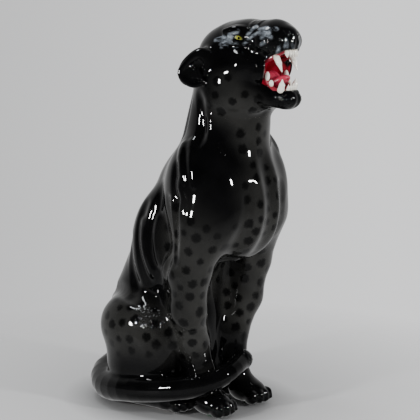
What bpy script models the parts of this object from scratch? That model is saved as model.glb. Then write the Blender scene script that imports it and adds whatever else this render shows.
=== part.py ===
"""Figural television lamp: a seated, snarling big cat slip-cast in glazed ceramic, with a keyed
lampholder and a small bulb in its hollow body, lit through a window in its back.

The cat faces -Y, +Z is up and the origin is the middle of the base, on the surface it stands on.
The figure's masses are written in millimetres, everything else in metres.
"""
import math

import bmesh
import bpy
import numpy as np
import openvdb
from mathutils import Matrix, Vector

MM = 0.001
GAP = 0.3 * MM

# Driving dimensions of the ceramic figure, in metres.
WALL = 5.5 * MM
NECK_SEAM_Z = 282 * MM
FOOT_Z = 1.8 * MM
FLOOR_BOTTOM_Z = 14 * MM
FLOOR_TOP_Z = 20 * MM
WINDOW_WIDTH = 54 * MM
WINDOW_Z = (52 * MM, 186 * MM)
WINDOW_CORNER = 20 * MM
WINDOW_DEPTH_Y = (30 * MM, 140 * MM)
RECESS_CENTRE_Y = 24 * MM
RECESS_RADII = (30 * MM, 36 * MM)

# Driving dimensions of the lamp inside it.
LAMP_Y = 24 * MM
PIPE_RADIUS = 4.9 * MM
PIPE_BORE = 3.2 * MM
PIPE_Z = (6 * MM, 35 * MM)
PIPE_HOLE = 5.6 * MM
WASHER_RADIUS = 11 * MM
WASHER_THICKNESS = 1.5 * MM
NUT_RADIUS = 8.1 * MM
NUT_HEIGHT = 4 * MM
HOLDER_Z = 27 * MM
HOLDER_RADIUS = 18.3 * MM
HOLDER_TOP_Z = 90 * MM
SCREW_SHELL_RADIUS = 13.3 * MM
BULB_RADIUS = 19 * MM
BULB_TOP_Z = 132 * MM
KEY_Z = 56 * MM
KEY_RADIUS = 8.5 * MM
CORD_HOLE = (15 * MM, 8.5 * MM)
FELT_HEIGHT = 1.5 * MM
BASE_FELT_CENTRE_Y = 22 * MM
BASE_FELT_RADII = (37 * MM, 44 * MM)
PAW_FELT_RADIUS = 6.5 * MM
PAW_FELT_PLACE = (27.5 * MM, -57 * MM)
GROMMET_SEAT_Y = 66 * MM

# Sampling steps of the sculpted pieces, in millimetres, and the triangles kept on each.
BODY_STEP, BODY_TRIANGLES = 3.4, 3700
HEAD_STEP, HEAD_TRIANGLES = 2.0, 1700
CAVITY_STEP, CAVITY_TRIANGLES = 4.0, 1100
SMALL_STEP = 0.9


# ---------------------------------------------------------------------------- scene and materials

def clear_scene():
    for item in list(bpy.data.objects):
        bpy.data.objects.remove(item, do_unlink=True)


def new_collection(name):
    collection = bpy.data.collections.new(name)
    bpy.context.scene.collection.children.link(collection)
    return collection


def new_material(name, colour, roughness, metallic=0.0, transmission=0.0):
    material = bpy.data.materials.new(name)
    material.use_nodes = True
    shader = material.node_tree.nodes["Principled BSDF"]
    shader.inputs["Base Color"].default_value = (*colour, 1)
    shader.inputs["Roughness"].default_value = roughness
    shader.inputs["Metallic"].default_value = metallic
    shader.inputs["Transmission Weight"].default_value = transmission
    material.diffuse_color = (*colour, 1)
    return material


clear_scene()
LAMP = new_collection("television_lamp")
CUTTERS = new_collection("cutters")
GLAZE = new_material("black_glaze", (0.012, 0.012, 0.014), 0.06)
EYE = new_material("eye_glaze", (0.55, 0.56, 0.12), 0.08)
TOOTH = new_material("white_glaze", (0.86, 0.84, 0.78), 0.15)
TONGUE = new_material("pink_glaze", (0.72, 0.13, 0.17), 0.18)
FELT = new_material("felt", (0.05, 0.08, 0.06), 0.95)
BRASS = new_material("brass", (0.72, 0.52, 0.22), 0.3, metallic=1)
STEEL = new_material("zinc_steel", (0.55, 0.56, 0.57), 0.35, metallic=1)
BAKELITE = new_material("bakelite", (0.035, 0.022, 0.018), 0.3)
FIBRE = new_material("fibre_paper", (0.42, 0.3, 0.17), 0.85)
RUBBER = new_material("rubber", (0.03, 0.03, 0.03), 0.8)
GLASS = new_material("lamp_glass", (0.95, 0.95, 0.92), 0.1, transmission=0.8)
TUNGSTEN = new_material("tungsten", (0.2, 0.2, 0.2), 0.4, metallic=1)


# ---------------------------------------------------------------------------- general mesh helpers

def add_object(name, mesh, material):
    item = bpy.data.objects.new(name, mesh)
    LAMP.objects.link(item)
    mesh.materials.append(material)
    return item


def as_cutter(item):
    for collection in list(item.users_collection):
        collection.objects.unlink(item)
    CUTTERS.objects.link(item)
    item.hide_render = True
    item.display_type = "WIRE"
    return item


def boolean(item, other, operation="DIFFERENCE"):
    modifier = item.modifiers.new(f"{operation.lower()}_{other.name}", "BOOLEAN")
    modifier.operation = operation
    modifier.solver = "EXACT"
    modifier.object = other


def mesh_from(bm, name):
    mesh = bpy.data.meshes.new(name)
    bm.to_mesh(mesh)
    bm.free()
    mesh.shade_smooth()
    mesh.set_sharp_from_angle(angle=math.radians(40))
    return mesh


def drum(name, radius, z_range, material, segments=24, top_radius=None):
    """A cylinder, prism or cone on the lamp's own +Z."""
    bm = bmesh.new()
    low, high = z_range
    bmesh.ops.create_cone(
        bm, cap_ends=True, segments=segments, radius1=radius,
        radius2=radius if top_radius is None else top_radius, depth=high - low,
        matrix=Matrix.Translation((0, 0, (low + high) / 2)),
    )
    return add_object(name, mesh_from(bm, name), material)


def block(name, low, high, material):
    bm = bmesh.new()
    bmesh.ops.create_cube(bm, size=1)
    low, high = Vector(low), Vector(high)
    size = high - low
    bmesh.ops.scale(bm, vec=size, verts=bm.verts)
    bmesh.ops.translate(bm, vec=(low + high) / 2, verts=bm.verts)
    return add_object(name, mesh_from(bm, name), material)


def turned(name, profile, material, steps=24):
    """A profile of (radius, height) turned round +Z.

    A ring's profile is closed; one that starts and ends on the axis makes a plain solid. Both run
    down their outer side.
    """
    bm = bmesh.new()
    verts = [bm.verts.new((radius, 0, height)) for radius, height in profile]
    on_axis = profile[0][0] == 0 and profile[-1][0] == 0
    for first, second in zip(verts, verts[1:] + ([] if on_axis else verts[:1])):
        bm.edges.new((first, second))
    mesh = bpy.data.meshes.new(name)
    bm.to_mesh(mesh)
    bm.free()
    item = add_object(name, mesh, material)
    screw = item.modifiers.new("turn", "SCREW")
    screw.steps = screw.render_steps = steps
    screw.use_merge_vertices = True
    screw.merge_threshold = 0.00005
    screw.use_smooth_shade = True
    return item


def on_lamp_axis(*items):
    for item in items:
        item.location.y += LAMP_Y
    return items[0]


def wire(name, points, radius, material):
    """A bent wire: a curve with filled caps."""
    curve = bpy.data.curves.new(name, "CURVE")
    curve.dimensions = "3D"
    curve.bevel_depth = radius
    curve.bevel_resolution = 1
    curve.use_fill_caps = True
    spline = curve.splines.new("POLY")
    spline.points.add(len(points) - 1)
    for point, place in zip(spline.points, points):
        point.co = (*place, 1)
    curve.materials.append(material)
    item = bpy.data.objects.new(name, curve)
    LAMP.objects.link(item)
    return item


# ---------------------------------------------------------------------------- modelling in clay

def turn_matrix(angles):
    """The rotation by degrees about X, then Y, then Z."""
    radians = [math.radians(angle) for angle in angles]
    turn = Matrix.Rotation(radians[2], 3, "Z") @ Matrix.Rotation(radians[1], 3, "Y")
    return np.array(turn @ Matrix.Rotation(radians[0], 3, "X"), np.float32)


def blend(first, second, width):
    """The smooth minimum of two distances."""
    near = np.maximum(width - np.abs(first - second), 0) / width
    return np.minimum(first, second) - near * near * width * 0.25


def ellipsoid_distance(points, centre, radii, turn):
    local = (points - np.array(centre, np.float32)) @ turn
    radii = np.array(radii, np.float32)
    scaled = np.linalg.norm(local / radii, axis=1)
    slope = np.linalg.norm(local / radii**2, axis=1)
    return scaled * (scaled - 1) / np.maximum(slope, 1e-6)


def limb_distance(points, start, end, start_radius, end_radius):
    """The distance to a straight limb that tapers between two radii."""
    start = np.array(start, np.float32)
    along = np.array(end, np.float32) - start
    offset = points - start
    share = np.clip(offset @ along / float(along @ along), 0, 1)
    distance = np.linalg.norm(offset - share[:, None] * along, axis=1)
    return distance - (start_radius + (end_radius - start_radius) * share)


class Clay:
    """Rounded masses pressed together, or cut away, held as a signed distance in millimetres."""

    REACH = 26.0

    def __init__(self):
        self.masses = []

    def mass(self, centre, radii, soft=8, turn=(0, 0, 0), cut=False):
        rotation = turn_matrix(turn)
        self.masses.append((
            centre, max(radii), soft, cut,
            lambda points: ellipsoid_distance(points, centre, radii, rotation),
        ))

    def limb(self, start, end, start_radius, end_radius, soft=8, cut=False):
        middle = [(a + b) / 2 for a, b in zip(start, end)]
        reach = math.dist(start, end) / 2 + max(start_radius, end_radius)
        self.masses.append((
            middle, reach, soft, cut,
            lambda points: limb_distance(points, start, end, start_radius, end_radius),
        ))

    def rope(self, places, radii, soft=4, knit=5):
        """Limbs end to end, the first pressed on with its own softness."""
        for index, (start, end) in enumerate(zip(places, places[1:])):
            self.limb(start, end, radii[index], radii[index + 1], knit if index else soft)

    def distance(self, points):
        found = np.full(len(points), 2 * self.REACH, np.float32)
        for centre, size, soft, cut, measure in self.masses:
            offset = points - np.array(centre, np.float32)
            near = np.einsum("ij,ij->i", offset, offset) < (size + self.REACH) ** 2
            if not near.any():
                continue
            sign = -1 if cut else 1
            found[near] = sign * blend(sign * found[near], measure(points[near]), soft)
        return found


def fire(name, clay, low, high, step, material, grow=0.0, triangles=None):
    """The clay's surface as a closed mesh, grown outwards by grow millimetres.

    Only blocks of the grid that hold the surface are measured. A Decimate modifier keeps about
    the wanted number of triangles.
    """
    block_size = 8
    low = np.array(low, float)
    blocks = np.ceil((np.array(high, float) - low) / (step * block_size)).astype(int)
    coarse = step * block_size
    axes = [low[i] + (np.arange(blocks[i]) + 0.5) * coarse for i in range(3)]
    centres = np.stack(np.meshgrid(*axes, indexing="ij"), -1).reshape(-1, 3).astype(np.float32)
    rough = clay.distance(centres) - grow
    grid = np.where(rough > 0, 20.0, -20.0).astype(np.float32).reshape(blocks)
    for axis in range(3):
        grid = np.repeat(grid, block_size, axis)
    offsets = np.stack(np.meshgrid(*[np.arange(block_size)] * 3, indexing="ij"), -1).reshape(-1, 3)
    surface_blocks = np.argwhere((np.abs(rough) < coarse * 1.1 + 4).reshape(blocks))
    for found in np.array_split(surface_blocks, max(1, len(surface_blocks) // 500)):
        cells = (found[:, None, :] * block_size + offsets).reshape(-1, 3)
        places = (low + cells * step).astype(np.float32)
        grid[cells[:, 0], cells[:, 1], cells[:, 2]] = clay.distance(places) - grow
    volume = openvdb.FloatGrid(20.0)
    volume.copyFromArray(grid)
    points, quads = volume.convertToQuads(0.0)
    mesh = bpy.data.meshes.new(name)
    mesh.from_pydata(((points * step + low) * MM).tolist(), [], quads.tolist())
    mesh.update()
    mesh.shade_smooth()
    item = add_object(name, mesh, material)
    if triangles:
        decimate = item.modifiers.new("fewer_faces", "DECIMATE")
        decimate.ratio = min(1.0, triangles / (2 * len(quads)))
    return item


# ---------------------------------------------------------------------------- the cat's masses

def trunk(clay, shrink=0.0):
    """Pelvis, straight back, chest and neck; shrink leaves the hollow inside a wall."""
    clay.mass((0, 34, 58), (47 - shrink, 41 - shrink, 58 - shrink), soft=1)
    clay.limb((0, 34, 92), (0, -22, 206), 45 - shrink, 44 - shrink, soft=22)
    clay.mass((0, -61, 200), (45 - shrink, 44 - shrink, 54 - shrink), soft=18)
    clay.limb((0, -46, 232), (0, -58, 304), 43 - shrink, 36.5 - shrink, soft=20)
    for side in (-1, 1):
        clay.mass((side * 29, 4, 160), (22 - shrink, 31 - shrink, 46 - shrink), soft=14)


def foreleg(clay, side):
    clay.mass((side * 37, -52, 212), (26, 38, 52), soft=14, turn=(-4, 0, 0))
    clay.limb((side * 42, -57, 186), (side * 46, -44, 140), 26, 20, soft=14)
    clay.limb((side * 46, -43, 136), (side * 43, -39.5, 101), 19.5, 17, soft=8)
    clay.mass((side * 49, -28, 137), (11, 10, 13), soft=10)
    clay.limb((side * 43, -39.5, 101), (side * 30, -36, 68), 16.8, 14.2, soft=6)
    clay.limb((side * 30, -36, 68), (side * 24.5, -40, 38), 14, 13, soft=6)
    clay.limb((side * 24.5, -40, 38), (side * 26.5, -49, 18), 13, 12, soft=5)
    clay.limb((side * 33, -22, 146), (side * 32, -16, 84), 13, 15, soft=10)
    clay.mass((side * 27.5, -55.5, 12), (15, 22.5, 12.5), soft=7, turn=(0, 0, side * -4))


def hindquarter(clay, side):
    clay.mass((side * 42.5, 22.5, 75), (30.5, 42, 35), soft=9, turn=(10, 0, 0))
    clay.mass((side * 39, 22, 40), (30, 37, 34), soft=12)
    clay.mass((side * 44.5, -1, 61), (22.5, 24, 33), soft=10)
    clay.limb((side * 44, 30, 12), (side * 42, -12, 11), 12, 12, soft=5)
    clay.mass((side * 39, -19, 10), (15, 17.5, 10.5), soft=5)


def tail(clay):
    places = [
        (0, 70, 28), (-32, 73, 20), (-53, 53, 16), (-63, 22, 20), (-60, -12, 24),
        (-51, -42, 29), (-38, -61, 35), (-18, -69, 42), (7, -65, 48),
    ]
    clay.rope(places, (18, 16, 14.5, 13, 12, 11, 10, 9, 8.5))


def skull(clay):
    clay.mass((0, -61, 334.5), (33, 36, 32), soft=14)
    for side in (-1, 1):
        clay.mass((side * 20, -67, 310), (20, 27.5, 29), soft=10)
        clay.mass((side * 23.5, -82, 330), (10.5, 16, 13), soft=8, turn=(0, 0, side * 20))
        clay.mass((side * 16, -78, 358), (11, 13, 8.5), soft=7, turn=(0, side * 18, 0))
        clay.mass((side * 10.5, -107, 351), (13.5, 18, 13), soft=6, turn=(0, 0, side * 6))
        clay.mass((side * 18, -97, 328), (6.5, 12.5, 13.5), soft=6, turn=(0, 0, side * 12))
    clay.mass((0, -70, 355), (19, 20, 13.6), soft=8)
    clay.limb((0, -84, 350), (0, -107, 354.5), 19, 16.5, soft=10)
    clay.mass((0, -121, 356.5), (9, 8, 8), soft=5)
    clay.mass((0, -119, 350), (10, 11, 8), soft=5)
    for side in (-1, 1):
        clay.limb((side * 14, -82, 301), (side * 6, -112, 301), 15, 10, soft=8)
    clay.mass((0, -120.5, 300.3), (12.8, 12, 9.8), soft=4)


def ear(clay, side):
    """A short round ear laid back, cupped towards the front."""
    turn = (33, 0, side * -38)
    clay.mass((side * 38, -50, 333), (9, 11, 13), soft=7, turn=turn)
    clay.mass((side * 43.5, -46, 325.5), (8, 13.5, 17), soft=4, turn=turn)
    clay.mass((side * 49.5, -53, 325.5), (5.5, 8, 10.5), soft=2, cut=True, turn=turn)


def head(clay):
    skull(clay)
    for side in (-1, 1):
        ear(clay, side)
        clay.mass((side * 21, -80.5, 353), (6.6, 7.4, 6.6), soft=4)
        brow = [(side * 12, -91, 357.5), (side * 19, -86, 362), (side * 24, -78, 362), (side * 26, -70, 358)]
        clay.rope(brow, [2.6] * 4, soft=4)
        clay.mass((side * 26, -85, 354.2), (5.5, 5.5, 3.4), soft=1, cut=True)
    clay.limb((-40, -122, 323), (40, -122, 323), 12.6, 12.6, soft=3, cut=True)
    clay.limb((-40, -136, 326), (40, -136, 326), 17.2, 17.2, soft=3, cut=True)
    clay.mass((0, -107, 324), (14.5, 19, 14.5), soft=2, cut=True, turn=(-12, 0, 0))
    clay.mass((0, -92, 315), (11, 16, 9.5), soft=4, cut=True)


def cat():
    clay = Clay()
    trunk(clay)
    for side in (-1, 1):
        foreleg(clay, side)
        hindquarter(clay, side)
    clay.mass((0, -10, 70), (40, 26, 74), soft=12)
    clay.mass((0, 30, 14), (54, 45, 24), soft=10)
    tail(clay)
    head(clay)
    return clay


def hollow():
    """The space inside the casting: the trunk within its wall, shoulders, haunches and skull."""
    clay = Clay()
    wall = WALL / MM
    trunk(clay, shrink=wall)
    for side in (-1, 1):
        clay.mass((side * 36, -51, 212), (24 - wall, 35 - wall, 50 - wall), soft=8)
        clay.limb((side * 40, -52, 186), (side * 43, -42, 150), 23 - wall, 18 - wall, soft=8)
        clay.mass((side * 42, 22.5, 75), (30 - wall, 41 - wall, 33 - wall), soft=6, turn=(10, 0, 0))
        clay.mass((side * 38, 22, 42), (29 - wall, 36 - wall, 34 - wall), soft=8)
    clay.mass((0, -4, 76), (30 - wall, 26 - wall, 62 - wall), soft=8)
    clay.mass((0, -57, 324), (26, 26, 33), soft=8)
    clay.mass((0, -93, 314), (18, 23, 17), soft=4, cut=True)
    return clay


def jaw(gum, teeth):
    """A gum bar along the places, with pairs of teeth as (root place, tip place, root radius)."""
    clay = Clay()
    clay.rope(gum, [2.1] * len(gum), soft=0.6, knit=0.6)
    for root, tip, radius in teeth:
        for side in (-1, 1):
            clay.limb((side * root[0], *root[1:]), (side * tip[0], *tip[1:]), radius, 0.55, soft=0.8)
    return clay


def upper_teeth():
    gum = [(-14, -104, 333.5), (-13.5, -110, 336), (-12, -116.5, 339.5), (-8, -121.5, 343),
           (0, -124, 344), (8, -121.5, 343), (12, -116.5, 339.5), (13.5, -110, 336), (14, -104, 333.5)]
    return jaw(gum, [
        ((11.6, -115, 340), (11.6, -122.3, 325), 3.2), ((7.2, -123.5, 342.6), (7.3, -125, 337.6), 1.9),
        ((4.3, -125, 343), (4.3, -126.2, 338), 1.6), ((1.45, -125.5, 343), (1.45, -126.8, 338.2), 1.55),
    ])


def lower_teeth():
    gum = [(-13, -104, 320), (-13.5, -109, 314), (-12, -114, 309), (-9, -120, 307), (0, -124, 307),
           (9, -120, 307), (12, -114, 309), (13.5, -109, 314), (13, -104, 320)]
    clay = jaw(gum, [
        ((9.6, -119.6, 308), (10.2, -121.8, 318), 3.3), ((5.3, -124, 308.5), (5.4, -125.2, 313.2), 1.6),
        ((3.1, -125, 308.5), (3.2, -126.2, 313.6), 1.4), ((1.0, -125.6, 308.5), (1, -126.8, 313.8), 1.3),
    ])
    for side in (-1, 1):
        clay.mass((side * 13.6, -112, 314.2), (1.9, 2.3, 3.2), soft=0.6)
        clay.mass((side * 14.2, -108.2, 320.6), (1.9, 2.4, 4.2), soft=0.6)
    return clay


def tongue():
    clay = Clay()
    clay.mass((0, -111, 315.5), (8.4, 11.5, 4.4), soft=1, turn=(-24, 0, 0))
    clay.mass((0, -101, 319.5), (8.8, 8, 5.5), soft=4)
    return clay


# ---------------------------------------------------------------------------- ceramic castings

def rounded_window():
    half = WINDOW_WIDTH / 2
    window = as_cutter(block(
        "window_cutter", (-half, WINDOW_DEPTH_Y[0], WINDOW_Z[0]),
        (half, WINDOW_DEPTH_Y[1], WINDOW_Z[1]), GLAZE,
    ))
    along_y = window.data.attributes.new("bevel_weight_edge", "FLOAT", "EDGE")
    for edge in window.data.edges:
        start, end = (window.data.vertices[index].co for index in edge.vertices)
        along_y.data[edge.index].value = float(abs(start.y - end.y) > WALL)
    bevel = window.modifiers.new("corners", "BEVEL")
    bevel.limit_method = "WEIGHT"
    bevel.width = WINDOW_CORNER
    bevel.segments = 5
    return window


def cord_passage():
    """The hole from the recess under the floor to a flat seat in the back, for the cord's grommet."""
    x, z = CORD_HOLE
    hole = drum("cord_hole_cutter", 4.6 * MM, (0, 80 * MM), RUBBER, segments=16)
    seat = drum("cord_seat_cutter", 7.4 * MM, (0, 50 * MM), RUBBER, segments=16)
    for item, start in ((hole, 40 * MM), (seat, GROMMET_SEAT_Y)):
        item.rotation_euler.x = math.radians(-90)
        item.location = (x, start, z)
        as_cutter(item)
    return hole, seat


def body_casting():
    body = fire("body_casting", cat(), (-96, -150, -12), (96, 110, 300), BODY_STEP, GLAZE,
                triangles=BODY_TRIANGLES)
    inside = as_cutter(fire("body_hollow", hollow(), (-80, -130, 0), (80, 110, 370), CAVITY_STEP,
                            GLAZE, triangles=CAVITY_TRIANGLES))
    floor = as_cutter(block("hollow_floor", (-0.2, -0.2, -0.1), (0.2, 0.2, FLOOR_TOP_Z), GLAZE))
    boolean(inside, floor)
    recess = as_cutter(drum("base_recess", 1, (-0.05, FLOOR_BOTTOM_Z), GLAZE, segments=32))
    recess.scale = (*RECESS_RADII, 1)
    recess.location.y = RECESS_CENTRE_Y
    pipe_hole = as_cutter(drum("pipe_hole_cutter", PIPE_HOLE, (0, 40 * MM), GLAZE, segments=20))
    on_lamp_axis(pipe_hole)
    under = as_cutter(block("under_foot", (-0.2, -0.2, -0.1), (0.2, 0.2, FOOT_Z), GLAZE))
    above = as_cutter(block("above_seam", (-0.2, -0.2, NECK_SEAM_Z - GAP / 2), (0.2, 0.2, 0.5), GLAZE))
    for cutter in (inside, recess, rounded_window(), pipe_hole, *cord_passage(), under, above):
        boolean(body, cutter)
    return body


def head_casting():
    piece = fire("head_casting", cat(), (-66, -146, 262), (66, 12, 386), HEAD_STEP, GLAZE,
                 triangles=HEAD_TRIANGLES)
    inside = as_cutter(fire("head_hollow", hollow(), (-60, -130, 250), (60, 20, 370), CAVITY_STEP,
                            GLAZE, triangles=400))
    below = as_cutter(block("below_seam", (-0.2, -0.2, 0), (0.2, 0.2, NECK_SEAM_Z + GAP / 2), GLAZE))
    boolean(piece, inside)
    boolean(piece, below)
    return piece


def mouth_piece(name, clay, low, high, material, triangles, skull):
    """A piece set in the mouth, in a recess that follows it at a small gap."""
    piece = fire(name, clay, low, high, SMALL_STEP, material, triangles=triangles)
    bed = as_cutter(fire(f"{name}_bed", clay, low, high, SMALL_STEP, material, grow=0.6,
                         triangles=int(triangles * 0.8)))
    boolean(skull, bed)
    return piece


def eye(side, skull):
    name = "eye_left" if side > 0 else "eye_right"
    for label, radius in ((name, 5.4 * MM), (f"{name}_socket", 5.7 * MM)):
        bm = bmesh.new()
        bmesh.ops.create_uvsphere(bm, u_segments=14, v_segments=8, radius=radius)
        ball = add_object(label, mesh_from(bm, label), EYE)
        ball.location = Vector((side * 21, -80.5, 353)) * MM
    boolean(skull, as_cutter(bpy.data.objects[f"{name}_socket"]))


def castings():
    body_casting()
    skull = head_casting()
    for side in (-1, 1):
        eye(side, skull)
    mouth_piece("upper_teeth", upper_teeth(), (-20, -132, 320), (20, -98, 349), TOOTH, 480, skull)
    mouth_piece("lower_teeth", lower_teeth(), (-20, -132, 300), (20, -98, 328), TOOTH, 440, skull)
    mouth_piece("tongue", tongue(), (-14, -128, 304), (14, -86, 330), TONGUE, 160, skull)
    felts()


def felts():
    """The felt glued under the base, over the recess, and a small one under each forepaw."""
    base = drum("base_felt", 1, (0, FELT_HEIGHT), FELT, segments=40)
    base.scale = (*BASE_FELT_RADII, 1)
    base.location.y = BASE_FELT_CENTRE_Y
    x, y = PAW_FELT_PLACE
    for name, side in (("paw_felt_left", 1), ("paw_felt_right", -1)):
        pad = drum(name, PAW_FELT_RADIUS, (0, FELT_HEIGHT), FELT, segments=16)
        pad.location = (side * x, y, 0)


# ---------------------------------------------------------------------------- lampholder

def ring_profile(inner, outer, low, high):
    return [(outer, high), (outer, low), (inner, low), (inner, high)]


def pipe_and_nuts():
    on_lamp_axis(turned("lamp_pipe", ring_profile(PIPE_BORE, PIPE_RADIUS, *PIPE_Z), STEEL, 16))
    clear = PIPE_RADIUS + GAP
    lower_washer = FLOOR_BOTTOM_Z - GAP - WASHER_THICKNESS
    upper_washer = FLOOR_TOP_Z + GAP
    for name, low in (("lower_washer", lower_washer), ("upper_washer", upper_washer)):
        ring = ring_profile(clear, WASHER_RADIUS, low, low + WASHER_THICKNESS)
        on_lamp_axis(turned(name, ring, STEEL, 20))
    lower_nut = lower_washer - GAP - NUT_HEIGHT
    upper_nut = upper_washer + WASHER_THICKNESS + GAP
    for name, low in (("lower_nut", lower_nut), ("upper_nut", upper_nut)):
        nut = drum(name, NUT_RADIUS, (low, low + NUT_HEIGHT), BRASS, segments=6)
        bore = as_cutter(drum(f"{name}_bore", clear, (low - GAP, low + NUT_HEIGHT + GAP), BRASS, 16))
        on_lamp_axis(nut, bore)
        boolean(nut, bore)


def radial_hole(name, radius, z, reach, angle):
    """A cutter lying along the direction at this angle from +X, out from the lamp axis."""
    cutter = drum(name, radius, (4.5 * MM, reach), BRASS, segments=12)
    cutter.rotation_euler = (0, math.radians(90), math.radians(angle))
    cutter.location = (0, LAMP_Y, z)
    return as_cutter(cutter)


def holder_cap():
    """The brass cup at the bottom, screwed on the pipe and locked by a small screw."""
    wall = 0.8 * MM
    hub, rim = 8 * MM, HOLDER_RADIUS + GAP
    bottom = HOLDER_Z
    outer = [(rim + wall, 49 * MM), (rim + wall, 43.5 * MM), (16.5 * MM, 38.5 * MM),
             (hub, 36 * MM), (hub, bottom)]
    inner = [(PIPE_RADIUS + GAP, bottom), (PIPE_RADIUS + GAP, 36.8 * MM), (15.8 * MM, 39.4 * MM),
             (rim, 44 * MM), (rim, 49 * MM)]
    cap = on_lamp_axis(turned("holder_cap", outer + inner, BRASS))
    boolean(cap, radial_hole("set_screw_hole", 1.9 * MM, 31.5 * MM, 12 * MM, 180))
    screw = drum("set_screw", 1.55 * MM, (5.4 * MM, 11 * MM), STEEL, segments=10)
    screw.rotation_euler.y = math.radians(-90)
    screw.location = (0, LAMP_Y, 31.5 * MM)


def holder_body():
    """The moulded insulating core with the switch, its terminal screws and its contacts."""
    core = [(0, 60 * MM), (14.4 * MM, 60 * MM), (14.4 * MM, 44.5 * MM), (11 * MM, 41 * MM), (0, 41 * MM)]
    body = on_lamp_axis(turned("holder_core", core, BAKELITE))
    boolean(body, radial_hole("spindle_bore", 2.8 * MM, KEY_Z, 20 * MM, 90))
    for name, side in (("terminal_screw_left", 1), ("terminal_screw_right", -1)):
        boolean(body, radial_hole(f"{name}_hole", 1.6 * MM, 50 * MM, 20 * MM, 90 - side * 90))
        profile = [(0, 16.4 * MM), (2.6 * MM, 16.4 * MM), (2.6 * MM, 14.9 * MM),
                   (1.3 * MM, 14.9 * MM), (1.3 * MM, 9 * MM), (0, 9 * MM)]
        screw = turned(name, profile, BRASS, 10)
        screw.rotation_euler.y = math.radians(side * 90)
        screw.location = (0, LAMP_Y, 50 * MM)


def holder_shells():
    """The fibre liner, the brass outer shell and the threaded shell that takes the bulb."""
    liner = on_lamp_axis(turned("fibre_liner", ring_profile(16.7 * MM, 17.3 * MM, 45 * MM, 86 * MM),
                                FIBRE))
    inner, outer = HOLDER_RADIUS - 0.7 * MM, HOLDER_RADIUS
    bead = outer + 0.6 * MM
    profile = [(outer, HOLDER_TOP_Z), (bead, 88.5 * MM), (outer, 87 * MM), (outer, 52.5 * MM),
               (outer, 46 * MM), (inner, 46 * MM), (inner, HOLDER_TOP_Z)]
    shell = on_lamp_axis(turned("holder_shell", profile, BRASS))
    for item in (liner, shell):
        boolean(item, radial_hole(f"{item.name}_key_hole", 3.3 * MM, KEY_Z, 25 * MM, 90))
    ridges = 3
    low, high = 62 * MM, 85 * MM
    top = SCREW_SHELL_RADIUS
    outside = [(top + 1.1 * MM, high)]
    for index in range(ridges * 2):
        z = high - 2 * MM - (high - low - 3 * MM) * index / (ridges * 2)
        outside.append((top + (0.5 if index % 2 else 1.1) * MM, z))
    outside += [(top + 0.6 * MM, low - 1.4 * MM), (8 * MM, low - 1.4 * MM), (8 * MM, low - 0.8 * MM),
                (top, low - 0.8 * MM), (top, high)]
    on_lamp_axis(turned("screw_shell", outside, BRASS))
    contact = [(0, 63 * MM), (2.2 * MM, 62.6 * MM), (4.5 * MM, 61.4 * MM), (4.5 * MM, 60.4 * MM),
               (0, 60.4 * MM)]
    on_lamp_axis(turned("centre_contact", contact, BRASS, 12))


def key():
    """The turn key: a spindle out of the core, through the shell, and its fluted knob."""
    spindle = turned("key_spindle", [(0, 31 * MM), (2.4 * MM, 31 * MM), (2.4 * MM, 9 * MM), (0, 9 * MM)],
                     BRASS, 12)
    flutes = 12
    bm = bmesh.new()
    bmesh.ops.create_cone(bm, cap_ends=True, segments=flutes * 2, radius1=KEY_RADIUS,
                          radius2=KEY_RADIUS * 0.86, depth=11 * MM)
    for index, vert in enumerate(sorted(bm.verts, key=lambda v: math.atan2(v.co.y, v.co.x))):
        if (index // 2) % 2:
            vert.co.x *= 0.92
            vert.co.y *= 0.92
    knob = add_object("key_knob", mesh_from(bm, "key_knob"), BAKELITE)
    knob_bore = as_cutter(drum("knob_bore", 2.7 * MM, (-20 * MM, 1.5 * MM), BRASS, segments=12))
    boolean(knob, knob_bore)
    for item, reach in ((spindle, 0), (knob, 29.5 * MM), (knob_bore, 29.8 * MM)):
        item.rotation_euler.x = math.radians(-90)
        item.location = (0, LAMP_Y + reach, KEY_Z)


# ---------------------------------------------------------------------------- bulb

def bulb():
    on_lamp_axis(turned("bulb_contact", [(0, 64.8 * MM), (4.4 * MM, 64.8 * MM), (3.4 * MM, 63.6 * MM),
                                         (0, 63.3 * MM)], BRASS, 12))
    insulator = [(0, 68.4 * MM), (11.6 * MM, 68.4 * MM), (11.6 * MM, 67.2 * MM), (5.6 * MM, 65.1 * MM),
                 (0, 65.1 * MM)]
    on_lamp_axis(turned("bulb_insulator", insulator, BAKELITE, 16))
    inner, outer = 12.1 * MM, 12.9 * MM
    groove = 12.4 * MM
    threads = []
    for index in range(6):
        threads.append((groove if index % 2 else outer, (84 - 2.6 * index) * MM))
    cap = [(outer, 88 * MM), (outer, 86 * MM), *threads, (groove, 68.7 * MM), (inner, 68.7 * MM),
           (inner, 88 * MM)]
    on_lamp_axis(turned("bulb_cap", cap, BRASS, 20))
    on_lamp_axis(turned("bulb_glass", glass_profile(), GLASS, 20))
    stem = [(0, 98 * MM), (2 * MM, 97 * MM), (2.4 * MM, 82 * MM), (8.5 * MM, 74 * MM), (0, 74 * MM)]
    on_lamp_axis(turned("filament_stem", stem, GLASS, 10))
    for name, side in (("filament_lead_left", 1), ("filament_lead_right", -1)):
        lead = [(side * 0.9 * MM, 0, 98.4 * MM), (side * 1.6 * MM, 0, 101 * MM),
                (side * 6 * MM, 0, 110 * MM), (side * 6 * MM, 0, 112 * MM)]
        on_lamp_axis(wire(name, lead, 0.4 * MM, STEEL))
    arc = []
    for index in range(9):
        angle = math.pi * index / 8
        arc.append((-5.2 * MM * math.cos(angle), 5.2 * MM * math.sin(angle) - 1 * MM, 112.9 * MM))
    on_lamp_axis(wire("filament", arc, 0.35 * MM, TUNGSTEN))


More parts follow.
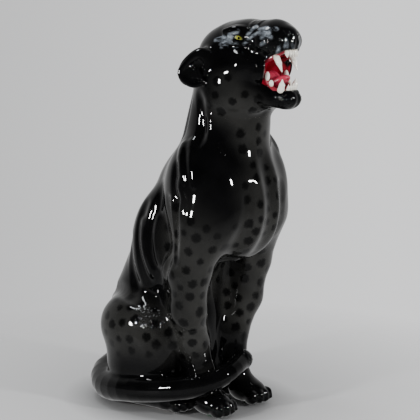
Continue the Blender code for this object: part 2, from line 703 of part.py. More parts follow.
def glass_profile():
    """The envelope: a round bulb of one wall thickness on an open neck."""
    wall = 0.8 * MM
    neck = 11.6 * MM
    centre = BULB_TOP_Z - BULB_RADIUS

    def side(radius, neck_radius):
        curve = []
        for index in range(7):
            angle = math.radians(90 - index * 20)
            curve.append((radius * math.cos(angle), centre + radius * math.sin(angle)))
        curve[0] = (0.0, centre + radius)
        curve += [(neck_radius + 1.2 * MM, 95 * MM), (neck_radius, 90 * MM), (neck_radius, 71 * MM)]
        return curve

    return side(BULB_RADIUS, neck) + side(BULB_RADIUS - wall, neck - wall)[::-1]


def grommet():
    x, z = CORD_HOLE
    flange, body, bore = 7.0 * MM, 4.3 * MM, 2.7 * MM
    profile = [(flange, 2.5 * MM), (flange, 0.3 * MM), (body, 0.3 * MM), (body, -9 * MM),
               (bore, -9 * MM), (bore, 2.5 * MM)]
    ring = turned("cord_grommet", profile, RUBBER, 16)
    ring.rotation_euler.x = math.radians(-90)
    ring.location = (x, GROMMET_SEAT_Y, z)


castings()
pipe_and_nuts()
holder_cap()
holder_body()
holder_shells()
key()
bulb()
grommet()
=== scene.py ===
"""Looks of the figural television lamp: the glazed big cat is sculpted again at full detail round
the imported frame, with airbrushed glaze, painted eyes, teeth and tongue, and the lampholder, bulb
and fittings inside are turned again with their threads, beads, knurls and slots.

The cat's masses are written in millimetres in the row frame: it faces -Y, and its left is +X.
"""
import math
import random

import bmesh
import bpy
import numpy as np
import openvdb
from mathutils import Matrix, Vector, kdtree


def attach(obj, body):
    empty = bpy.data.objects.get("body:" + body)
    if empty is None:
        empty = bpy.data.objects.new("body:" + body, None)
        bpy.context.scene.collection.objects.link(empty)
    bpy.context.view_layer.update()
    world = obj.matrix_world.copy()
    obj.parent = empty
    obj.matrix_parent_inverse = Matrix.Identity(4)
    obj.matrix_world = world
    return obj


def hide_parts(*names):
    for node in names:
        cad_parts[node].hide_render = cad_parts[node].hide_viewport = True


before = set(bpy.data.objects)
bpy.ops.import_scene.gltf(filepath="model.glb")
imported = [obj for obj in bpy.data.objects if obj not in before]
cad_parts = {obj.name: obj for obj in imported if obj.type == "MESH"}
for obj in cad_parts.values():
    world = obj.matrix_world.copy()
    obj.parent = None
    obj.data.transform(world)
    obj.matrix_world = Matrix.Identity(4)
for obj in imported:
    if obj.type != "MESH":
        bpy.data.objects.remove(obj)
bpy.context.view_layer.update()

MM = 0.001
SIDES = (-1, 1)

# Driving sizes shared with the CAD, in millimetres.
WALL = 5.5
NECK_SEAM_Z = 282.0
FOOT_Z = 1.8
FLOOR_BOTTOM_Z = 14.0
FLOOR_TOP_Z = 20.0
WINDOW_HALF = 27.0
WINDOW_Z = (52.0, 186.0)
WINDOW_CORNER = 20.0
WINDOW_FROM_Y = 34.0
RECESS_CENTRE_Y = 24.0
RECESS_RADII = (30.0, 36.0)
LAMP_Y = 24.0
PIPE_HOLE = 5.6
CORD_HOLE = (15.0, 8.5)
CORD_RADIUS, CORD_FROM_Y = 4.6, 40.0
GROMMET_RADIUS, GROMMET_SEAT_Y = 7.4, 66.0
KEY_Z = 56.0
SET_SCREW_Z = 31.5
TERMINAL_Z = 50.0
BULB_Z = 113.0

# Sampling steps of the sculpted surfaces, in millimetres.
BODY_STEP = 1.6
HEAD_STEP = 0.9
SMALL_STEP = 0.45
INSIDE_KEPT = 0.25

# The painted spots, in millimetres.
SPOT_GAP = 11.6
SPOT_RADII = (3.1, 4.8)


# ------------------------------------------------------------------------------ modelling in clay

def turn_matrix(angles):
    """The rotation by degrees about X, then Y, then Z."""
    radians = [math.radians(angle) for angle in angles]
    turn = Matrix.Rotation(radians[2], 3, "Z") @ Matrix.Rotation(radians[1], 3, "Y")
    return np.array(turn @ Matrix.Rotation(radians[0], 3, "X"), np.float32)


def blend(first, second, width):
    """The smooth minimum of two distances."""
    near = np.maximum(width - np.abs(first - second), 0) / width
    return np.minimum(first, second) - near * near * width * 0.25


def ellipsoid_distance(points, centre, radii, turn):
    local = (points - np.array(centre, np.float32)) @ turn
    radii = np.array(radii, np.float32)
    scaled = np.linalg.norm(local / radii, axis=1)
    slope = np.linalg.norm(local / radii**2, axis=1)
    return scaled * (scaled - 1) / np.maximum(slope, 1e-6)


def limb_distance(points, start, end, start_radius, end_radius):
    """The distance to a straight limb that tapers between two radii."""
    start = np.array(start, np.float32)
    along = np.array(end, np.float32) - start
    offset = points - start
    share = np.clip(offset @ along / float(along @ along), 0, 1)
    distance = np.linalg.norm(offset - share[:, None] * along, axis=1)
    return distance - (start_radius + (end_radius - start_radius) * share)


class Clay:
    """Masses pressed together, cut away or textured in turn, as a signed distance in millimetres."""

    REACH = 18.0

    def __init__(self):
        self.steps = []

    def mass(self, centre, radii, soft=8, turn=(0, 0, 0), cut=False):
        rotation = turn_matrix(turn)
        self.steps.append((
            centre, max(radii) + soft, soft, -1 if cut else 1,
            lambda points: ellipsoid_distance(points, centre, radii, rotation),
        ))

    def limb(self, start, end, start_radius, end_radius, soft=8, cut=False):
        middle = [(a + b) / 2 for a, b in zip(start, end)]
        reach = math.dist(start, end) / 2 + max(start_radius, end_radius) + soft
        self.steps.append((
            middle, reach, soft, -1 if cut else 1,
            lambda points: limb_distance(points, start, end, start_radius, end_radius),
        ))

    def rope(self, places, radii, soft=4, cut=False):
        """One limb that follows all the places."""
        low, high = np.min(places, axis=0), np.max(places, axis=0)
        reach = float(np.linalg.norm(high - low)) / 2 + max(radii) + soft
        spans = list(zip(places, places[1:], radii, radii[1:]))

        def measure(points):
            found = limb_distance(points, *spans[0])
            for span in spans[1:]:
                found = np.minimum(found, limb_distance(points, *span))
            return found

        self.steps.append((tuple((low + high) / 2), reach, soft, -1 if cut else 1, measure))

    def crease(self, places, depth, width=4.0, soft=3.0):
        """A valley of the given depth along places, which are moved onto the surface."""
        path = smooth_path(places)
        deep = np.array([depth * taper(i, len(path)) for i in range(len(path))], np.float32)
        self.rope(self.on_surface(path, deep - width), [width] * len(path), soft, cut=True)

    def fold(self, places, radius, sink=0.5, soft=3.0):
        """A raised fold along places, which are moved to just under the surface."""
        path = smooth_path(places)
        size = np.array([radius * taper(i, len(path)) for i in range(len(path))], np.float32)
        self.rope(self.on_surface(path, radius - (1 - sink) * size), [radius] * len(path), soft)

    def texture(self, centre, radii, height, pitch):
        """Rough fur: lumps of the given height and pitch inside a soft-edged ellipsoid."""
        def lumps(points):
            edge = ellipsoid_distance(points, centre, radii, turn_matrix((0, 0, 0)))
            share = np.clip(-edge / 5.0, 0, 1)
            return share * height * lump_noise(points / pitch)

        self.steps.append((centre, max(radii), None, 1, lumps))

    def distance(self, points):
        found = np.full(len(points), 2 * self.REACH, np.float32)
        for centre, size, soft, sign, measure in self.steps:
            offset = points - np.array(centre, np.float32)
            near = np.einsum("ij,ij->i", offset, offset) < (size + self.REACH) ** 2
            if not near.any():
                continue
            if soft is None:
                found[near] -= measure(points[near])
            else:
                found[near] = sign * blend(sign * found[near], measure(points[near]), soft)
        return found

    def gradient(self, points, reach=0.25):
        slope = np.empty((len(points), 3), np.float32)
        for axis in range(3):
            nudge = np.zeros(3, np.float32)
            nudge[axis] = reach
            slope[:, axis] = self.distance(points + nudge) - self.distance(points - nudge)
        return slope / np.maximum(np.linalg.norm(slope, axis=1, keepdims=True), 1e-9)

    def on_surface(self, places, sink=0.0):
        """The places moved along the gradient until they lie sink under the surface."""
        points = np.array(places, np.float32)
        for _ in range(6):
            off = np.clip(self.distance(points) + sink, -8, 8)
            points = points - self.gradient(points) * off[:, None]
        return [tuple(float(x) for x in point) for point in points]


def lump_noise(points):
    """A smooth bumpy field between about -1 and 1 with a pitch of one unit."""
    x, y, z = (points * (2 * math.pi)).T
    first = np.sin(x + 1.3 * np.sin(0.7 * y)) * np.sin(0.9 * y + 1.1 * np.sin(0.8 * z))
    second = np.sin(1.6 * z + 0.9 * np.sin(1.1 * x)) * np.sin(1.3 * x - 0.8 * y)
    return 0.6 * first + 0.5 * second


def smooth_path(places, per_span=3):
    """More places along a smooth curve through the given ones."""
    ends = [places[0], *places, places[-1]]
    path = []
    for a, b, c, d in zip(ends, ends[1:], ends[2:], ends[3:]):
        for index in range(per_span):
            t = index / per_span
            path.append(tuple(
                0.5 * (2 * q + (r - p) * t + (2 * p - 5 * q + 4 * r - s) * t * t
                       + (3 * q - p - 3 * r + s) * t**3)
                for p, q, r, s in zip(a, b, c, d)
            ))
    return [*path, tuple(places[-1])]


def taper(index, count):
    """1 along the middle of a path, falling to 0 at both ends."""
    along = index / (count - 1)
    return min(1.0, 4 * along, 4 * (1 - along)) ** 0.7


def mirrored(side, places):
    return [(side * x, y, z) for x, y, z in places]


# ------------------------------------------------------------------------------ the cat's masses

def trunk(clay, shrink=0.0):
    """Pelvis, straight back, chest and neck; shrink leaves the hollow inside a wall."""
    clay.mass((0, 34, 58), (47 - shrink, 41 - shrink, 58 - shrink), soft=1)
    clay.limb((0, 34, 92), (0, -22, 206), 45 - shrink, 44 - shrink, soft=22)
    clay.mass((0, -61, 200), (45 - shrink, 44 - shrink, 54 - shrink), soft=18)
    clay.limb((0, -46, 232), (0, -58, 304), 43 - shrink, 36.5 - shrink, soft=20)
    for side in SIDES:
        clay.mass((side * 29, 4, 160), (22 - shrink, 31 - shrink, 46 - shrink), soft=14)


def foreleg(clay, side):
    clay.mass((side * 37, -52, 212), (26, 38, 52), soft=14, turn=(-4, 0, 0))
    clay.limb((side * 42, -57, 186), (side * 46, -44, 140), 26, 20, soft=14)
    clay.limb((side * 46, -43, 136), (side * 43, -39.5, 101), 19.5, 17, soft=8)
    clay.mass((side * 49, -28, 137), (11, 10, 13), soft=10)
    clay.limb((side * 43, -39.5, 101), (side * 30, -36, 68), 16.8, 14.2, soft=6)
    clay.limb((side * 30, -36, 68), (side * 24.5, -40, 38), 14, 13, soft=6)
    clay.limb((side * 24.5, -40, 38), (side * 26.5, -49, 18), 13, 12, soft=5)
    clay.limb((side * 33, -22, 146), (side * 32, -16, 84), 13, 15, soft=10)
    clay.mass((side * 27.5, -55.5, 12), (15, 20, 12), soft=7, turn=(0, 0, side * -4))


def toes(clay, centre, spread, length, size, side, yaw):
    """Four toes side by side, fanned a little, with grooves between them and a claw on each."""
    turn = math.radians(yaw * side)
    for index in range(4):
        across = (index - 1.5) / 1.5
        forward = length - 2.6 * across * across
        local = Vector((across * spread, -forward, 0))
        x, y = (centre[0] + local.x * math.cos(turn) - local.y * math.sin(turn),
                centre[1] + local.x * math.sin(turn) + local.y * math.cos(turn))
        fan = yaw * side + across * 9
        clay.mass((x, y, centre[2]), (size, size * 1.75, size * 1.5), soft=2.2, turn=(0, 0, fan))
        clay.mass((x, y - size * 0.5, centre[2] + size * 0.75), (size * 0.82, size, size * 0.8),
                  soft=2.0, turn=(0, 0, fan))
        tip = Vector((math.sin(math.radians(fan)), -math.cos(math.radians(fan)), 0))
        start = Vector((x, y, centre[2] - 0.5)) + tip * size * 1.45
        end = start + tip * 2.4 - Vector((0, 0, 3.4))
        clay.limb(tuple(start), tuple(end), 1.25, 0.45, soft=1.2)


def hindquarter(clay, side):
    clay.mass((side * 42.5, 22.5, 75), (30.5, 42, 35), soft=9, turn=(10, 0, 0))
    clay.mass((side * 39, 22, 40), (30, 37, 34), soft=12)
    clay.mass((side * 44.5, -1, 61), (22.5, 24, 33), soft=10)
    clay.limb((side * 44, 30, 12), (side * 42, -12, 11), 12, 12, soft=5)
    clay.mass((side * 39, -18, 10), (14, 15, 10), soft=5)


def tail(clay):
    places = [
        (0, 70, 28), (-32, 73, 20), (-53, 53, 16), (-63, 22, 20), (-60, -12, 24),
        (-51, -42, 29), (-38, -61, 35), (-18, -69, 42), (7, -65, 48),
    ]
    radii = (18, 16, 14.5, 13, 12, 11, 10, 9, 8.5)
    path = smooth_path([(*place, radius) for place, radius in zip(places, radii)])
    clay.rope([point[:3] for point in path], [point[3] for point in path], soft=4)


def skull(clay):
    clay.mass((0, -61, 334.5), (33, 36, 32), soft=14)
    for side in SIDES:
        clay.mass((side * 20, -67, 310), (20, 27.5, 29), soft=10)
        clay.mass((side * 23.5, -82, 330), (10.5, 16, 13), soft=8, turn=(0, 0, side * 20))
        clay.mass((side * 16, -78, 358), (11, 13, 8.5), soft=7, turn=(0, side * 18, 0))
        clay.mass((side * 10.5, -107, 351), (13.5, 18, 13), soft=6, turn=(0, 0, side * 6))
        clay.mass((side * 18, -97, 328), (6.5, 12.5, 13.5), soft=6, turn=(0, 0, side * 12))
    clay.mass((0, -70, 355), (19, 20, 13.6), soft=8)
    clay.limb((0, -84, 350), (0, -107, 354.5), 19, 16.5, soft=10)
    clay.mass((0, -121, 356.5), (9, 8, 8), soft=5)
    clay.mass((0, -119, 350), (10, 11, 8), soft=5)
    for side in SIDES:
        clay.limb((side * 14, -82, 301), (side * 6, -112, 301), 15, 10, soft=8)
    clay.mass((0, -120.5, 300.3), (12.8, 12, 9.8), soft=4)


def mouth_space(clay, cut):
    clay.limb((-40, -122, 323), (40, -122, 323), 12.6, 12.6, soft=3, cut=cut)
    clay.limb((-40, -136, 326), (40, -136, 326), 17.2, 17.2, soft=3, cut=cut)


def throat_space(clay, cut):
    clay.mass((0, -107, 324), (14.5, 19, 14.5), soft=2, cut=cut, turn=(-12, 0, 0))
    clay.mass((0, -95, 316), (11.5, 13, 10), soft=4, cut=cut)


def ear(clay, side):
    """A short round ear laid back: a cupped leaf with a rolled rim and fur inside."""
    turn = (33, 0, side * -38)
    clay.mass((side * 38, -50, 333), (9, 11, 13), soft=7, turn=turn)
    clay.mass((side * 43, -46, 325.5), (6, 12.5, 16), soft=4, turn=turn)
    rim = smooth_path(mirrored(side, [
        (36, -58, 340), (40.5, -53, 338.5), (46.5, -46, 334), (52.5, -39, 325), (51.5, -41, 316.5),
        (46.5, -48.5, 311.5), (41, -55.5, 314),
    ]))
    clay.mass((side * 48, -51, 325.5), (5.0, 9, 12), soft=2, cut=True, turn=turn)
    clay.rope(rim, [2.3] * len(rim), soft=2.0)
    for index in range(5):
        low = (side * (43 + index * 0.8), -56.5 + index * 3.0, 317 + index * 0.7)
        high = (side * (44.5 + index * 1.0), -53 + index * 2.8, 327 + index * 0.6)
        clay.limb(low, high, 1.7, 0.9, soft=1.0)


EYE_CENTRE = Vector((21.0, -80.5, 353.0))
EYE_RADIUS = 5.4
GAZE = Vector((0.74, -0.64, 0.20)).normalized()


def eye_setting(clay, side):
    """Brow, lids and the almond gap between them that shows the eyeball."""
    centre, out = (Vector(mirrored(side, [place])[0]) for place in (EYE_CENTRE, GAZE))
    along = out.cross(Vector((0, 0, 1))).normalized() * side
    up = along.cross(out).normalized() * side
    if up.z < 0:
        up = -up
    front = along if along.y < 0 else -along
    clay.mass(tuple(centre), (6.6, 7.4, 6.6), soft=4)
    corner_in = centre + out * 3.2 + front * 6.6 - up * 2.6
    corner_out = centre + out * 1.2 - front * 7.4 + up * 2.4
    upper = [corner_in, centre + out * 6.3 + front * 2.5 + up * 2.6,
             centre + out * 5.6 - front * 3.2 + up * 4.0, corner_out]
    lower = [corner_in, centre + out * 6.2 + front * 2.2 - up * 3.2,
             centre + out * 5.6 - front * 3.0 - up * 2.0, corner_out]
    brow = [centre + out * 2 + front * 9 + up * 3.5, centre + out * 4.4 + front * 3 + up * 7.2,
            centre + out * 2.4 - front * 5 + up * 8.4, centre - out * 1.5 - front * 12 + up * 7]
    gap = centre + out * 5.6
    yaw = math.degrees(math.atan2(out.y, out.x))
    pitch = -math.degrees(math.asin(out.z))
    clay.mass(tuple(gap), (4.2, 4.6, 2.7), soft=1.0, cut=True, turn=(side * 16, pitch, yaw))
    for places, radius, soft in ((upper, 1.5, 1.6), (lower, 1.25, 1.6), (brow, 2.6, 4.5)):
        path = smooth_path([tuple(place) for place in places])
        clay.rope(path, [radius] * len(path), soft=soft)


def muzzle(clay, side):
    """Snarl folds, whisker rows, lip rims, nostril and the comma beside it."""
    for index in range(3):
        back = 3.6 * index
        fold = mirrored(side, [
            (5 + index, -97 + back, 368), (14 + index, -97 + back * 1.1, 361 - index),
            (19.5 + index, -97.5 + back, 352 - index * 1.5), (21 + index, -99 + back, 343 - index * 2),
        ])
        clay.fold(fold, 1.5, sink=0.35, soft=2.4)
    for row in range(3):
        for column in range(4):
            spot = clay.on_surface([(side * (14.5 + column * 2.4), -121 + column * 4.2,
                                     353 - row * 3.8 - column * 0.6)])[0]
            clay.mass(spot, (0.75, 0.75, 0.75), soft=0.7, cut=True)
    lip = smooth_path(mirrored(side, [
        (4, -131, 343), (12, -128, 342), (17.5, -121, 338.5), (20.5, -114, 334), (21.5, -108.5, 328),
        (21, -108.5, 319), (17.5, -113, 312.5), (13.5, -121, 309.5), (6, -129.5, 309.5),
    ]))
    clay.rope(clay.on_surface(lip, 0.45), [1.15] * len(lip), soft=1.8)
    clay.mass((side * 5.0, -128.2, 358.3), (2.3, 3.0, 1.9), soft=0.8, cut=True,
              turn=(0, side * -24, side * 20))
    clay.rope(clay.on_surface(mirrored(side, [(6.5, -127, 357.2), (8.2, -125, 358.6), (8.8, -122, 361)])),
              [1.0, 0.8, 0.5], soft=0.9, cut=True)
    clay.crease(mirrored(side, [(2.2, -128.5, 353), (6, -127.5, 355), (9.4, -124.5, 357.5),
                                (10, -120, 362)]), 0.55, soft=1.0)


def head(clay):
    skull(clay)
    for side in SIDES:
        ear(clay, side)
        eye_setting(clay, side)
    mouth_space(clay, cut=True)
    for side in SIDES:
        muzzle(clay, side)
    throat_space(clay, cut=True)
    clay.crease([(0, -129, 356.5), (0, -130, 351), (0, -130, 346)], 0.8, soft=1.2)
    for side in SIDES:
        clay.crease(mirrored(side, [(4, -112, 287), (12, -106, 290), (19, -99, 295), (24, -96, 303)]),
                    1.8, width=5, soft=5)
        clay.texture((side * 9, -122, 300), (10, 11, 9), 0.6, 4.2)
    clay.crease([(0, -131, 306), (0, -131.5, 300), (0, -126, 293)], 0.5, soft=1.6)
    for index in range(4):
        y, z = -112 + index * 4.2, 341.5 - index * 1.6
        clay.rope([(-8, y, z - 1.5), (0, y - 1.5, z), (8, y, z - 1.5)], [0.9] * 3, soft=1.2)


def skin_folds(clay):
    """Loose skin: folds down the nape, shoulders and flanks, and the chest and armpit creases."""
    for side in SIDES:
        for places, depth, width in (
            ([(38, -50, 300), (39, -55, 286), (41, -56, 270), (43, -54, 252)], 1.8, 5),
            ([(30, -24, 300), (33, -22, 280), (35, -18, 262), (38, -14, 246)], 1.5, 5),
            ([(58, -38, 238), (62, -40, 220), (63, -42, 205), (65, -42, 190)], 1.2, 4),
            ([(61, -47, 212), (64, -44, 196), (66, -43, 176), (66, -42, 150)], 1.6, 4),
            ([(57, -28, 205), (60, -30, 184), (63, -32, 164), (62, -27, 140), (60, -22, 116)], 3.2, 7),
            ([(44, -8, 214), (47, -4, 190), (49, -2, 166), (52, -4, 142)], 1.8, 5),
            ([(43, 12, 196), (46, 14, 172), (49, 12, 148), (52, 6, 124)], 1.6, 5),
            ([(40, 34, 160), (45, 33, 142), (50, 28, 126), (55, 20, 114)], 1.5, 5),
        ):
            clay.crease(mirrored(side, places), depth, width, soft=6)
        for places, radius in (
            ([(37, -58, 292), (38, -62, 276), (42, -69, 260), (44, -74, 248)], 4.0),
            ([(50, -38, 258), (56, -44, 242), (61, -50, 226)], 3.0),
            ([(50, -50, 262), (56, -56, 243), (61, -62, 224)], 3.0),
            ([(61, -43, 224), (64, -47, 210), (67, -52, 197)], 2.5),
            ([(60, -36, 206), (64, -39, 182), (66, -40, 156)], 2.5),
            ([(48, -6, 186), (51, -5, 164), (54, -7, 142)], 2.6),
            ([(46, 12, 180), (50, 10, 156), (53, 4, 132)], 2.6),
        ):
            clay.fold(mirrored(side, places), radius, sink=0.62, soft=6)
        clay.crease(mirrored(side, [(22, -97, 214), (22.5, -97, 200), (22.5, -95, 187), (24, -86, 172)]),
                    2.0, width=8, soft=8)
        clay.crease(mirrored(side, [(28, -62, 148), (20, -68, 146), (10, -74, 148)]), 1.4, soft=5)
        clay.fold(mirrored(side, [(30, -50, 132), (22, -58, 136), (10, -66, 143)]), 3.0, soft=6)
        clay.crease(mirrored(side, [(26, -88, 284), (38, -70, 287), (41, -54, 292)]), 0.8, width=6, soft=5)
        clay.texture((side * 57, -4, 90), (13, 20, 14), 0.5, 4.4)
        clay.crease(mirrored(side, [(30, 66, 104), (44, 52, 112), (56, 30, 113), (60, 8, 106)]), 1.8,
                    width=5, soft=6)
    clay.crease([(0, -99, 244), (0, -103, 224), (0, -105, 204), (0, -101, 182), (0, -86, 160)], 3.4,
                width=9, soft=9)


def casting_masses():
    clay = Clay()
    trunk(clay)
    for side in SIDES:
        foreleg(clay, side)
        hindquarter(clay, side)
    clay.mass((0, -10, 70), (40, 26, 74), soft=12)
    clay.mass((0, 30, 14), (54, 45, 24), soft=10)
    head(clay)
    skin_folds(clay)
    for side in SIDES:
        toes(clay, (side * 27.5, -60.5, 8.2), 10.4, 10.5, 4.6, side, -4)
        toes(clay, (side * 38, -22, 7.2), 10.0, 9.0, 4.1, side, 4)
    tail(clay)
    clay.mass((8, -64.5, 48), (9.6, 9.4, 9.4), soft=3)
    clay.texture((8, -64.5, 48), (12, 12, 12), 0.7, 5.0)
    return clay


def hollow_masses():
    """The space inside the casting: the trunk within its wall, shoulders, haunches and skull."""
    clay = Clay()
    trunk(clay, shrink=WALL)
    for side in SIDES:
        clay.mass((side * 36, -51, 212), (24 - WALL, 35 - WALL, 50 - WALL), soft=8)
        clay.limb((side * 40, -52, 186), (side * 43, -42, 150), 23 - WALL, 18 - WALL, soft=8)
        clay.mass((side * 42, 22.5, 75), (30 - WALL, 41 - WALL, 33 - WALL), soft=6, turn=(10, 0, 0))
        clay.mass((side * 38, 22, 42), (29 - WALL, 36 - WALL, 34 - WALL), soft=8)
    clay.mass((0, -4, 76), (30 - WALL, 26 - WALL, 62 - WALL), soft=8)
    for side in SIDES:
        clay.limb((side * 22.5, -98, 222), (side * 24, -89, 168), 10, 10, soft=3, cut=True)
    clay.limb((0, -103, 246), (0, -107, 205), 9, 9, soft=3, cut=True)
    clay.limb((0, -107, 205), (0, -88, 160), 9, 9, soft=3, cut=True)
    clay.mass((0, -55, 324), (26, 24, 33), soft=8)
    clay.mass((0, -94, 314), (19, 21, 17), soft=4, cut=True)
    return clay


# ------------------------------------------------------------------------------ the casting's shape

def slot_distance(across, along, half, low, high, corner):
    """The distance to a window through everything, with rounded corners."""
    away = np.stack([np.abs(across) - half, np.abs(along - (low + high) / 2) - (high - low) / 2], -1)
    away = away + corner
    return np.linalg.norm(np.maximum(away, 0), axis=1) + np.minimum(away.max(axis=1), 0) - corner


def carve(solid, cutter, soft=1.0):
    """The solid without the cutter, its edges rounded by soft."""
    return -blend(-solid, cutter, soft)


class Casting:
    """The cat as cast: the clay's skin, the hollow, the light window, the recess and the holes."""

    def __init__(self, keep_above):
        self.clay = casting_masses()
        self.hollow = hollow_masses()
        self.keep_above = keep_above

    def inside(self, points):
        above_floor = FLOOR_TOP_Z - points[:, 2]
        return np.maximum(self.hollow.distance(points), above_floor)

    def distance(self, points):
        x, y, z = points.T
        shape = carve(self.clay.distance(points), self.inside(points), 1.6)
        if self.keep_above:
            return shape
        window = slot_distance(x, z, WINDOW_HALF, *WINDOW_Z, WINDOW_CORNER)
        shape = carve(shape, np.maximum(window, WINDOW_FROM_Y - y), 2.4)
        rx, ry = RECESS_RADII
        ring = np.sqrt((x / rx) ** 2 + ((y - RECESS_CENTRE_Y) / ry) ** 2)
        recess = np.maximum((ring - 1) * rx, z - FLOOR_BOTTOM_Z)
        shape = carve(shape, recess, 1.4)
        pipe = np.maximum(np.hypot(x, y - LAMP_Y) - PIPE_HOLE, np.abs(z - 17) - 10)
        shape = carve(shape, pipe, 0.5)
        from_cord = np.hypot(x - CORD_HOLE[0], z - CORD_HOLE[1])
        for radius, from_y in ((CORD_RADIUS, CORD_FROM_Y), (GROMMET_RADIUS, GROMMET_SEAT_Y)):
            shape = carve(shape, np.maximum(from_cord - radius, from_y - y), 0.8)
        return carve(shape, z - FOOT_Z, 2.0)

    def gradient(self, points, reach=0.3):
        return Clay.gradient(self, points, reach)


def polygonise(field, low, high, step):
    """The field's zero surface as (points, quads): only blocks that hold it are measured."""
    block = 8
    low = np.array(low, float)
    blocks = np.ceil((np.array(high, float) - low) / (step * block)).astype(int)
    coarse = step * block
    axes = [low[i] + (np.arange(blocks[i]) + 0.5) * coarse for i in range(3)]
    centres = np.stack(np.meshgrid(*axes, indexing="ij"), -1).reshape(-1, 3).astype(np.float32)
    rough = field.distance(centres)
    grid = np.where(rough > 0, 20.0, -20.0).astype(np.float32).reshape(blocks)
    for axis in range(3):
        grid = np.repeat(grid, block, axis)
    offsets = np.stack(np.meshgrid(*[np.arange(block)] * 3, indexing="ij"), -1).reshape(-1, 3)
    found = np.argwhere((np.abs(rough) < coarse * 0.95 + 2).reshape(blocks))
    for some in np.array_split(found, max(1, len(found) // 400)):
        cells = (some[:, None, :] * block + offsets).reshape(-1, 3)
        places = (low + cells * step).astype(np.float32)
        grid[cells[:, 0], cells[:, 1], cells[:, 2]] = field.distance(places)
    volume = openvdb.FloatGrid(20.0)
    volume.copyFromArray(grid)
    points, quads = volume.convertToQuads(0.0)
    return (points * step + low).astype(np.float32), quads


def settle(points, field, reach, rounds=3):
    """Points moved onto the field's zero surface, by at most reach each round."""
    for _ in range(rounds):
        move = np.clip(field.distance(points), -reach, reach)
        points = points - field.gradient(points) * move[:, None]
    return points


def mesh_of(name, points, faces):
    mesh = bpy.data.meshes.new(name)
    mesh.from_pydata((points * MM).tolist(), [], [tuple(face) for face in faces])
    mesh.update()
    return mesh


def mesh_from(name, bm):
    mesh = bpy.data.meshes.new(name)
    bm.to_mesh(mesh)
    bm.free()
    return mesh


def link(name, data, material=None):
    item = bpy.data.objects.new(name, data)
    bpy.context.scene.collection.objects.link(item)
    if material:
        data.materials.append(material)
    return item


def evaluated_mesh(item):
    bpy.context.view_layer.update()
    return bpy.data.meshes.new_from_object(item.evaluated_get(bpy.context.evaluated_depsgraph_get()))


def stand_in(item, body, cad_node):
    """Puts the item on its body and hides the CAD node that it stands in for."""
    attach(item, body)
    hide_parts(cad_node)
    return item


def coordinates(mesh):
    flat = np.empty(len(mesh.vertices) * 3, np.float32)
    mesh.vertices.foreach_get("co", flat)
    return flat.reshape(-1, 3) / MM


def cut_at_seam(mesh, keep_above):
    """Bisects the mesh at the neck seam, and leaves the cut closed with a flat rim."""
    bm = bmesh.new()
    bm.from_mesh(mesh)
    cut = bmesh.ops.bisect_plane(
        bm, geom=[*bm.verts, *bm.edges, *bm.faces], dist=1e-6,
        plane_co=(0, 0, NECK_SEAM_Z * MM), plane_no=(0, 0, 1),
        clear_outer=not keep_above, clear_inner=keep_above)
    edges = [item for item in cut["geom_cut"] if isinstance(item, bmesh.types.BMEdge)]
    bmesh.ops.triangle_fill(bm, use_beauty=True, use_dissolve=False, edges=edges,
                            normal=(0, 0, -1 if keep_above else 1))
    bmesh.ops.recalc_face_normals(bm, faces=bm.faces)
    bm.to_mesh(mesh)
    bm.free()


def thin_inside(mesh, casting):
    """Fewer faces on the hollow's side, which is seen only through the window."""
    item = link("thinning", mesh)
    group = item.vertex_groups.new(name="inside")
    points = coordinates(mesh)
    deep = casting.clay.distance(points) < -2.6
    group.add([int(i) for i in np.nonzero(deep)[0]], 1.0, "REPLACE")
    decimate = item.modifiers.new("fewer", "DECIMATE")
    decimate.ratio = 1 - (1 - INSIDE_KEPT) * float(deep.mean())
    decimate.vertex_group = "inside"
    decimate.vertex_group_factor = 10.0
    thinned = evaluated_mesh(item)
    bpy.data.objects.remove(item)
    return thinned


def set_attribute(mesh, name, values):
    layer = mesh.attributes.new(name, "FLOAT", "POINT")
    layer.data.foreach_set("value", np.ascontiguousarray(values, np.float32))


def soft_region(points, centre, radii, edge):
    """1 well inside an ellipsoid, falling to 0 over edge millimetres either side of it."""
    away = ellipsoid_distance(points, centre, radii, turn_matrix((0, 0, 0)))
    share = np.clip(0.5 - away / (2 * edge), 0, 1)
    return share * share * (3 - 2 * share)


def smoke_of(points):
    """Where the black is airbrushed to smoky grey: legs, chest front, haunches, cheeks, throat."""
    clear = np.ones(len(points), np.float32)
    for side in SIDES:
        for centre, radii, edge, share in (
            ((44, -50, 158), (26, 30, 50), 20, 0.9),
            ((38, -40, 92), (22, 22, 34), 12, 0.95),
            ((26, -50, 36), (14, 16, 12), 8, 0.22),
            ((58, 26, 80), (28, 44, 26), 14, 0.62),
            ((54, -20, 60), (20, 18, 14), 12, 0.2),
            ((26, -82, 292), (20, 26, 14), 11, 0.6),
            ((34, -78, 312), (10, 14, 12), 9, 0.35),
        ):
            region = soft_region(points, (side * centre[0], centre[1], centre[2]), radii, edge)
            clear *= 1 - share * region
    for centre, radii, edge, share in (
        ((0, -96, 268), (30, 24, 22), 16, 0.6),
        ((0, -92, 172), (36, 28, 26), 18, 0.75),
        ((0, -104, 214), (34, 24, 30), 22, 0.4),
        ((0, -40, 134), (20, 14, 32), 8, 0.5),
    ):
        clear *= 1 - share * soft_region(points, centre, radii, edge)
    drift = 0.5 * lump_noise(points / 41.0) + 0.35 * lump_noise(points / 17.0 + 3.1)
    return np.clip((1 - clear) * (0.92 + 0.2 * drift), 0, 1)


